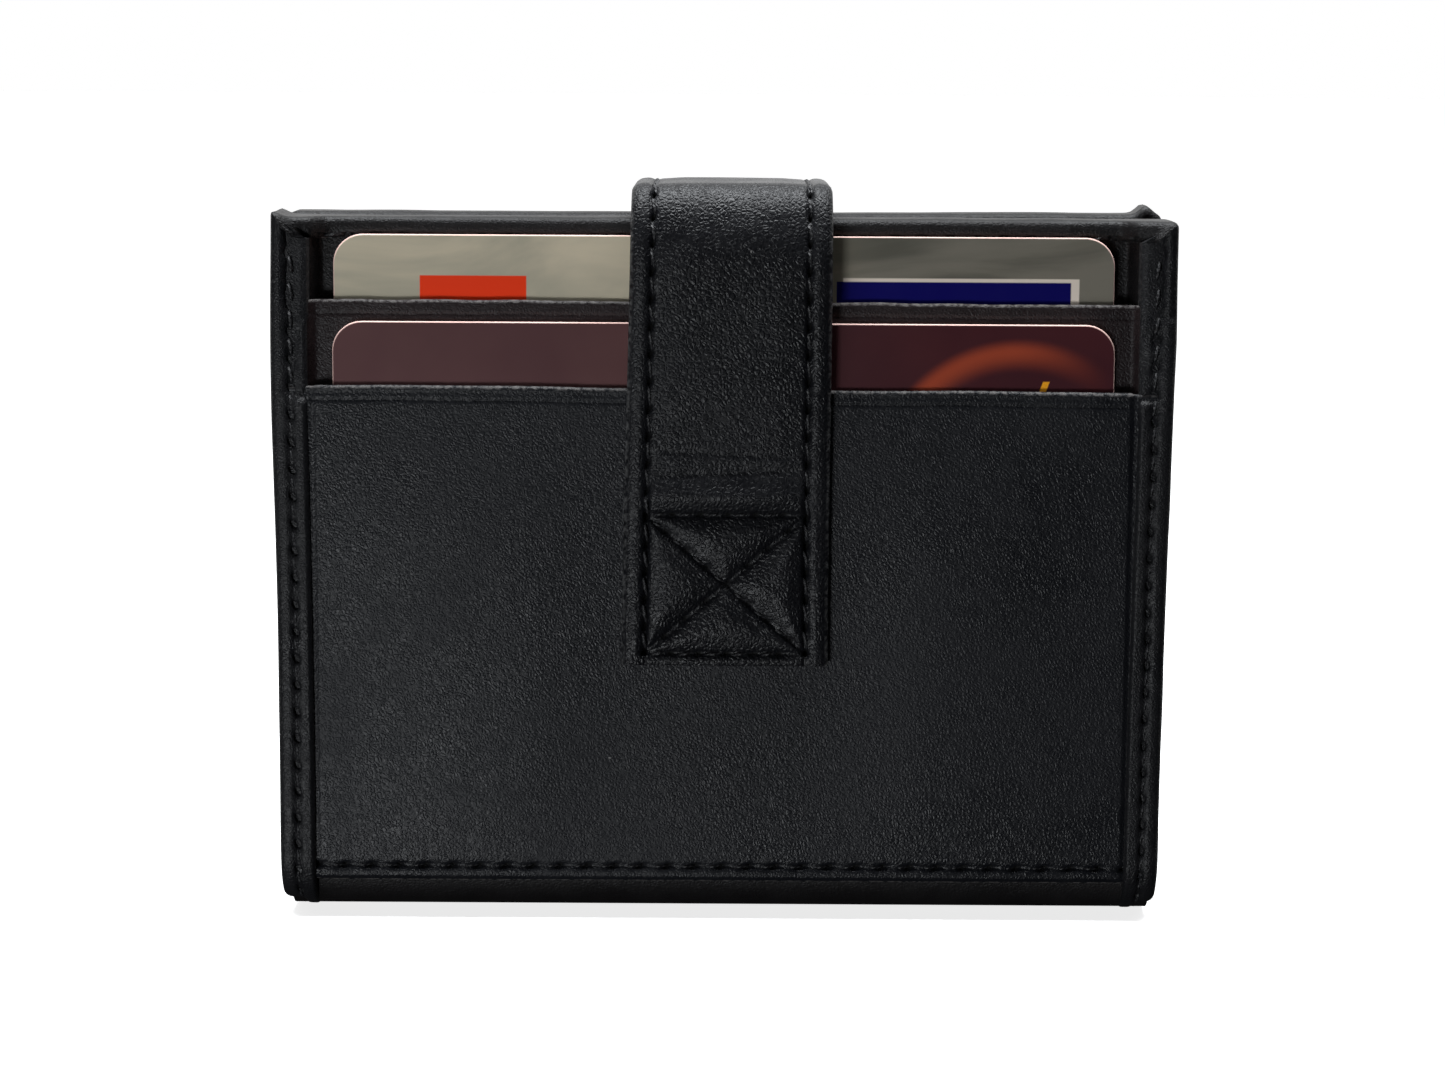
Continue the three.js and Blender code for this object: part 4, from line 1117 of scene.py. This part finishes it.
# %% Sew the strap
def strap_stitches(name, rows, seed):
    """A stitch at each (d, a) in rows; each row is (d array, a array, direction (dd, da))."""
    at, along, out = [], [], []
    for d, a, way in rows:
        d, a = np.broadcast_arrays(np.asarray(d, float), np.asarray(a, float))
        ahead = strap_points(d + 0.2 * way[0], a + 0.2 * way[1], 0.0)
        behind = strap_points(d - 0.2 * way[0], a - 0.2 * way[1], 0.0)
        normal = strap_path(d)[1]
        out.append(np.stack([0 * d, normal[..., 0], normal[..., 1]], -1))
        at.append(strap_points(d, a, strap_face(d, a)[0] + 0.06))
        along.append(ahead - behind)
    return stitch_row(name, np.concatenate(at), np.concatenate(along), np.concatenate(out), seed=seed)


def both_sides(d):
    """Rows of the two side seams at these distances."""
    edge = strap_half(d) - STRAP_SEAM
    return [(d, -edge, (1.0, 0.0)), (d, edge, (1.0, 0.0))]


boxed = WIDE - STRAP_SEAM - 0.05
cross = np.hypot(BOX_HIGH - BOX_LOW, 2 * boxed)
beat = holes_between(0.3, cross - 0.3)
share_along = beat / cross
rows = [(BOX_LOW, holes_between(-boxed, boxed), (0.0, 1.0)),
        (BOX_HIGH, holes_between(-boxed, boxed), (0.0, 1.0)),
        (BOX_LOW + (BOX_HIGH - BOX_LOW) * share_along, -boxed + 2 * boxed * share_along,
         (0.67, 0.74)),
        (BOX_HIGH - (BOX_HIGH - BOX_LOW) * share_along, -boxed + 2 * boxed * share_along, (-0.67, 0.74))]
side_d = holes_between(BOX_LOW, MARKS[5] - TIP_ROUND)
made = strap_stitches("strap_root_stitches", rows + both_sides(side_d[side_d < BREAKS[1]]), seed=91)
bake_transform(made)
finish_piece(made, THREAD, "thread", "box_cross_seam")
rise_d = side_d[(side_d > BREAKS[1]) & (side_d < BREAKS[2])]
made = strap_stitches("strap_rise_stitches", both_sides(rise_d), seed=92)
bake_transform(made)
finish_piece(made, THREAD, "thread", "strap_leg_seam_left", "strap_leg_seam_right", "strap_top_seam_left",
             "strap_top_seam_right")
corner_r = TIP_ROUND - STRAP_SEAM
straight = float(strap_half(MARKS[5] - TIP_ROUND)) - TIP_ROUND
tip_rows = both_sides(side_d[side_d > BREAKS[2]])
tip_rows.append((MARKS[5] - STRAP_SEAM, holes_between(-2.6, 2.6), (0.0, 1.0)))
for angle in np.linspace(0.25, 1.32, 4):
    rise, run = math.sin(angle), math.cos(angle)
    d, a = MARKS[5] - TIP_ROUND + corner_r * rise, straight + corner_r * run
    tip_rows += [([d], [a], (run, -rise)), ([d], [-a], (run, rise))]
made = strap_stitches("strap_flap_stitches", tip_rows, seed=93)
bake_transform(made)
finish_piece(made, THREAD, "thread", "strap_tab_seam")

# %% [markdown]
# ## The cards
# Two bank-size cards stand in the pockets. Their faces are printed plastic: a satin, marbled grey one, and a
# maroon one with a soft orange sweep. Only plain fields of colour are printed, with no names or marks. The
# white core shows as a thin pinkish line round the rim. Shapes are masks in millimetres on the card.

# %% Card finishes
BOX_MASK, take, give = group("printed box", [("Vector", VECTOR, None), ("X", FLOAT, 0.0), ("Z", FLOAT, 0.0),
                                             ("Half X", FLOAT, 0.01), ("Half Z", FLOAT, 0.01),
                                             ("Slant", FLOAT, 0.0), ("Soft", FLOAT, 0.00012)],
                              [("Mask", FLOAT)])
spot = put(BOX_MASK, "ShaderNodeSeparateXYZ", {0: take["Vector"]}).outputs
off_z = calc(BOX_MASK, "SUBTRACT", spot[2], take["Z"])
off_x = calc(BOX_MASK, "SUBTRACT", calc(BOX_MASK, "SUBTRACT", spot[0], take["X"]),
             calc(BOX_MASK, "MULTIPLY", off_z, take["Slant"]))
sides = [calc(BOX_MASK, "DIVIDE", calc(BOX_MASK, "SUBTRACT", take[half], calc(BOX_MASK, "ABSOLUTE", off)),
              take["Soft"], clamp=True) for half, off in (("Half X", off_x), ("Half Z", off_z))]
BOX_MASK.links.new(calc(BOX_MASK, "MULTIPLY", *sides), give["Mask"])


CARD_GLOSS = 0.08                        # the cards are worn dull
CARD_CORE = (0.85, 0.58, 0.52, 1)        # the colour of a card's rim


def card_material(name, build):
    """A printed card: build(tree, place) gives its colour; the rim is the pale core."""
    material, tree, surface, _, edge_and_hole_shade = shader(name)
    place = put(tree, "ShaderNodeTexCoord").outputs["Object"]
    printed = build(tree, place)
    tree.links.new(mix_colour(tree, edge_and_hole_shade, printed, CARD_CORE), surface.inputs["Base Color"])
    rub = put(tree, "ShaderNodeTexNoise", {"Vector": place, "Scale": 300.0, "Detail": 3.0}).outputs[0]
    surface.inputs["Specular IOR Level"].default_value = CARD_GLOSS
    tree.links.new(calc(tree, "MULTIPLY_ADD", rub, 0.16, 0.30), surface.inputs["Roughness"])
    bumps = put(tree, "ShaderNodeBump", {"Height": rub, "Strength": 0.3, "Distance": 0.00003})
    tree.links.new(bumps.outputs[0], surface.inputs["Normal"])
    return material


def stamp(tree, place, under, colour, x, z, half_x, half_z, slant=0.0, soft=0.12):
    """A box of colour printed over what is under it; sizes in mm."""
    mask = use(tree, BOX_MASK, {"Vector": place, "X": x * MM, "Z": z * MM, "Half X": half_x * MM,
                                "Half Z": half_z * MM, "Slant": slant, "Soft": soft * MM})["Mask"]
    return mix_colour(tree, mask, under, (*colour, 1))


def grey_print(tree, place):
    """Marbled grey-green with a red field and a navy field in a thin cream frame; painted shade darkens it to
    the right.
    """
    split = put(tree, "ShaderNodeSeparateXYZ", {0: place}).outputs
    veins = put(tree, "ShaderNodeTexNoise", {"Vector": put(tree, "ShaderNodeMapping", {
        "Vector": place, "Rotation": (0.0, 0.5, 0.0), "Scale": (1.0, 1.0, 2.6)}).outputs[0],
        "Scale": 34.0, "Detail": 5.0, "Distortion": 1.6}).outputs[0]
    base = mix_colour(tree, step_up(tree, veins, 0.3, 0.72), (0.66, 0.58, 0.43, 1), (0.42, 0.39, 0.30, 1))
    # Painted shade: to the right the print fades into dimmer copies of its colours.
    painted_shade = step_up(tree, split[0], 0.002, 0.018)
    dim = mix_colour(tree, step_up(tree, veins, 0.35, 0.65), (0.20, 0.185, 0.15, 1), (0.11, 0.105, 0.085, 1))
    base = mix_colour(tree, painted_shade, base, dim)
    base = stamp(tree, place, base, (0.92, 0.050, 0.010), -27.5, 67.1, 5.9, 4.4)
    base = stamp(tree, place, base, (0.80, 0.70, 0.60), 26.0, 67.1, 13.0, 4.35)
    base = stamp(tree, place, base, (0.004, 0.003, 0.105), 25.2, 67.1, 12.9, 3.95)
    base = stamp(tree, place, base, (0.004, 0.003, 0.105), 5.0, 67.1, 6.0, 4.0)
    return stamp(tree, place, base, (0.80, 0.70, 0.60), 11.55, 67.1, 0.30, 4.0)


def maroon_print(tree, place):
    """Maroon, warmer at the left, with an orange sweep: a ring of colour round a far point, fading right."""
    split = put(tree, "ShaderNodeSeparateXYZ", {0: place}).outputs
    cloud = put(tree, "ShaderNodeTexNoise", {"Vector": place, "Scale": 45.0, "Detail": 4.0}).outputs[0]
    share = step_up(tree, cloud, 0.3, 0.7)
    left = mix_colour(tree, share, (0.150, 0.075, 0.072, 1), (0.105, 0.048, 0.050, 1))
    right = mix_colour(tree, share, (0.072, 0.018, 0.022, 1), (0.048, 0.013, 0.018, 1))
    base = mix_colour(tree, step_up(tree, split[0], -0.030, 0.030), left, right)
    dx = calc(tree, "SUBTRACT", split[0], 0.0325)
    dz = calc(tree, "SUBTRACT", split[2], 0.0486)
    square = calc(tree, "MULTIPLY_ADD", dx, dx, calc(tree, "MULTIPLY", dz, dz))
    reach = calc(tree, "SQRT", square)
    ring = calc(tree, "MULTIPLY", step_up(tree, reach, 0.0125, 0.0150), calc(
        tree, "SUBTRACT", 1.0, step_up(tree, reach, 0.0150, 0.0166)))
    fade = calc(tree, "MULTIPLY", step_up(tree, split[0], 0.0165, 0.0215), calc(
        tree, "SUBTRACT", 1.0, step_up(tree, split[0], 0.031, 0.043)))
    sweep = calc(tree, "MULTIPLY", calc(tree, "MULTIPLY", ring, fade), 0.85)
    base = mix_colour(tree, sweep, base, (0.42, 0.070, 0.030, 1))
    return stamp(tree, place, base, (0.95, 0.40, 0.02), 34.9, 59.0, 0.42, 1.35, slant=0.35)


GREY, MAROON = card_material("grey card print", grey_print), card_material("maroon card print", maroon_print)
print("cards:", GREY.name, MAROON.name)

# %% Make the cards
def rounded_outline(low, high, radius, points=12):
    """Corners of a rounded rectangle in x and z, anticlockwise, each a quarter circle of that many points."""
    turn = np.linspace(0, np.pi / 2, points)
    middles = [(high[0] - radius, high[2] - radius), (low[0] + radius, high[2] - radius),
               (low[0] + radius, low[2] + radius), (high[0] - radius, low[2] + radius)]
    return np.concatenate([np.stack([mx + radius * np.cos(turn + q * np.pi / 2),
                                     mz + radius * np.sin(turn + q * np.pi / 2)], -1)
                           for q, (mx, mz) in enumerate(middles)])


for name, material, slot_name in (("card_upper", GREY, "card_grey"), ("card_lower", MAROON, "card_maroon")):
    low, high = corners(name)
    outline = rounded_outline(low, high, 3.2)
    middle = (low + high)[[0, 2]] / 2
    bevel, deep = 0.13, high[1] - low[1]
    rings = []
    for y, shrink in ((0, bevel), (bevel * 0.3, bevel * 0.3), (bevel, 0), (deep - bevel, 0),
                      (deep - bevel * 0.3, bevel * 0.3), (deep, bevel)):
        inset_points = middle + (outline - middle) * (1 - shrink / np.array([42.8, 27.0]))
        ring_y = np.full(len(outline), low[1] + y)
        rings.append(np.stack([inset_points[:, 0], ring_y, inset_points[:, 1]], -1))
    grid = np.stack(rings)
    edge_and_hole_shade = np.repeat(np.array([0.0, 1, 1, 1, 1, 0.0])[:, None], len(outline), 1)
    made = piece(f"{name}_plastic", grid, edge_and_hole_shade)
    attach(made, name)
    finish_piece(made, material, slot_name, name)

# %% [markdown]
# ## The snap
# The cap that shows on the strap's tip is spun from sheet metal: a flat skirt, a rolled rim and a low dome.
# That is a profile turned about an axis, so its rings are stations and a circle is the loop. The hidden
# socket, stud and rivet keep their frame solids and take the same nickel.

# %% Make the snap
SNAP_LOW, SNAP_HIGH = corners("snap_cap")
snap_x, snap_z = (SNAP_LOW + SNAP_HIGH)[[0, 2]] / 2
profile = np.array([(0.05, 0.0), (5.2, 0.0), (5.9, 0.08), (6.2, 0.35), (6.15, 0.7), (5.8, 0.98),
                    (5.3, 1.05), (4.85, 0.98), (4.6, 0.92), (4.2, 1.02), (3.4, 1.20), (2.4, 1.36),
                    (1.2, 1.46), (0.05, 1.48)])
turn = np.linspace(0, 2 * np.pi, 65)[:-1]
grid = np.stack([snap_x + profile[:, :1] * np.cos(turn), TIP_FACE - 0.02 + np.repeat(profile[:, 1:], 64, 1),
                 snap_z + profile[:, :1] * np.sin(turn)], -1)
cap = piece("snap_cap_metal", grid)
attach(cap, "strap_tab")
finish_piece(cap, NICKEL, "snap_metal", "snap_cap")


def dress(node, material):
    """Gives a frame solid that stays in sight, or inside, a procedural finish."""
    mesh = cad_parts[node].data
    mesh.materials.clear()
    mesh.materials.append(material)


for node in ("snap_socket", "snap_stud", "snap_rivet"):
    dress(node, NICKEL)
for node in ("front_stiffener", "back_stiffener"):
    dress(node, BOARD)
print("frame solids that stay:", [n for n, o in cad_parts.items() if not o.hide_render])

# %% [markdown]
# ## Floor and light
# The floor is a wide pale disc that fades into an equally pale surround, so that there is no horizon. The
# black leather shows mostly what it reflects: a white sweep behind it that skims over the top edges, a soft
# strip light straight above, and two small ones low in front at the left, as a pale table throws light up.
# So the front is brightest low at the left, and darkest near the top at the right. The low lights stand
# below the floor, so the floor casts no shadow, and it is kept out of reflections, because the real spine is
# nearly black underneath.

# %% Make the floor
turn = np.linspace(0, 2 * np.pi, 97)[:-1]
floor_mesh = bpy.data.meshes.new("floor")
floor_mesh.from_pydata(np.stack([8 * np.cos(turn), 8 * np.sin(turn), 0 * turn - 0.0002], -1).tolist(), [],
                       [list(range(96))])
floor = link("floor", floor_mesh)
floor.visible_glossy = floor.visible_diffuse = floor.visible_shadow = False
floor_material = bpy.data.materials.new("pale floor")
floor_material.use_nodes = True
tree = floor_material.node_tree
tree.nodes.clear()
paper = put(tree, "ShaderNodeBsdfDiffuse", {"Color": (0.75, 0.75, 0.75, 1)})
glow = put(tree, "ShaderNodeEmission", {"Color": (1, 1, 1, 1), "Strength": 0.80})
both = put(tree, "ShaderNodeAddShader", {0: paper.outputs[0], 1: glow.outputs[0]})
put(tree, "ShaderNodeOutputMaterial", {"Surface": both.outputs[0]})
floor_mesh.materials.append(floor_material)

# %% Make the surround and the lights
world = bpy.data.worlds.new("studio")
bpy.context.scene.world = world
world.use_nodes = True
tree = world.node_tree
tree.nodes.clear()
way = put(tree, "ShaderNodeSeparateXYZ", {0: put(tree, "ShaderNodeTexCoord").outputs["Generated"]}).outputs
behind = step_up(tree, way[1], 0.15, 0.75)
above_floor = step_up(tree, way[2], -0.45, 0.0)
dim = calc(tree, "MULTIPLY_ADD", calc(tree, "MULTIPLY", behind, above_floor), 1.25, 0.008)
seen = put(tree, "ShaderNodeLightPath").outputs["Is Camera Ray"]
strength = put(tree, "ShaderNodeMix", {0: seen, 2: dim, 3: 1.0}).outputs[0]
sky = put(tree, "ShaderNodeBackground", {"Color": (1, 1, 1, 1), "Strength": strength})
put(tree, "ShaderNodeOutputWorld", {"Surface": sky.outputs[0]})


DAYLIGHT = (0.94, 0.97, 1.0)             # the light of a window, slightly blue


def soft_light(name, at, aim, width, height, power):
    """A rectangular light at a point, in metres, turned to face another."""
    data = bpy.data.lights.new(name, "AREA")
    data.shape, data.size, data.size_y, data.energy = "RECTANGLE", width, height, power
    data.color = DAYLIGHT
    lamp = bpy.data.objects.new(name, data)
    lamp.location = at
    from_to = np.array(aim, float) - np.array(at, float)
    lamp.rotation_euler = Vector(from_to).to_track_quat("-Z", "Y").to_euler()
    bpy.context.scene.collection.objects.link(lamp)
    return lamp


soft_light("overhead", (0.0, 0.0, 0.62), (0, 0, 0.04), 0.7, 0.2, 9.6)
soft_light("low left", (-0.30, -0.80, -0.28), (0, 0, 0.04), 0.2, 0.2, 3.0)
soft_light("far left", (-0.50, -0.70, -0.25), (0, 0, 0.04), 0.4, 0.4, 1.5)
bpy.context.scene.view_settings.view_transform = "Standard"
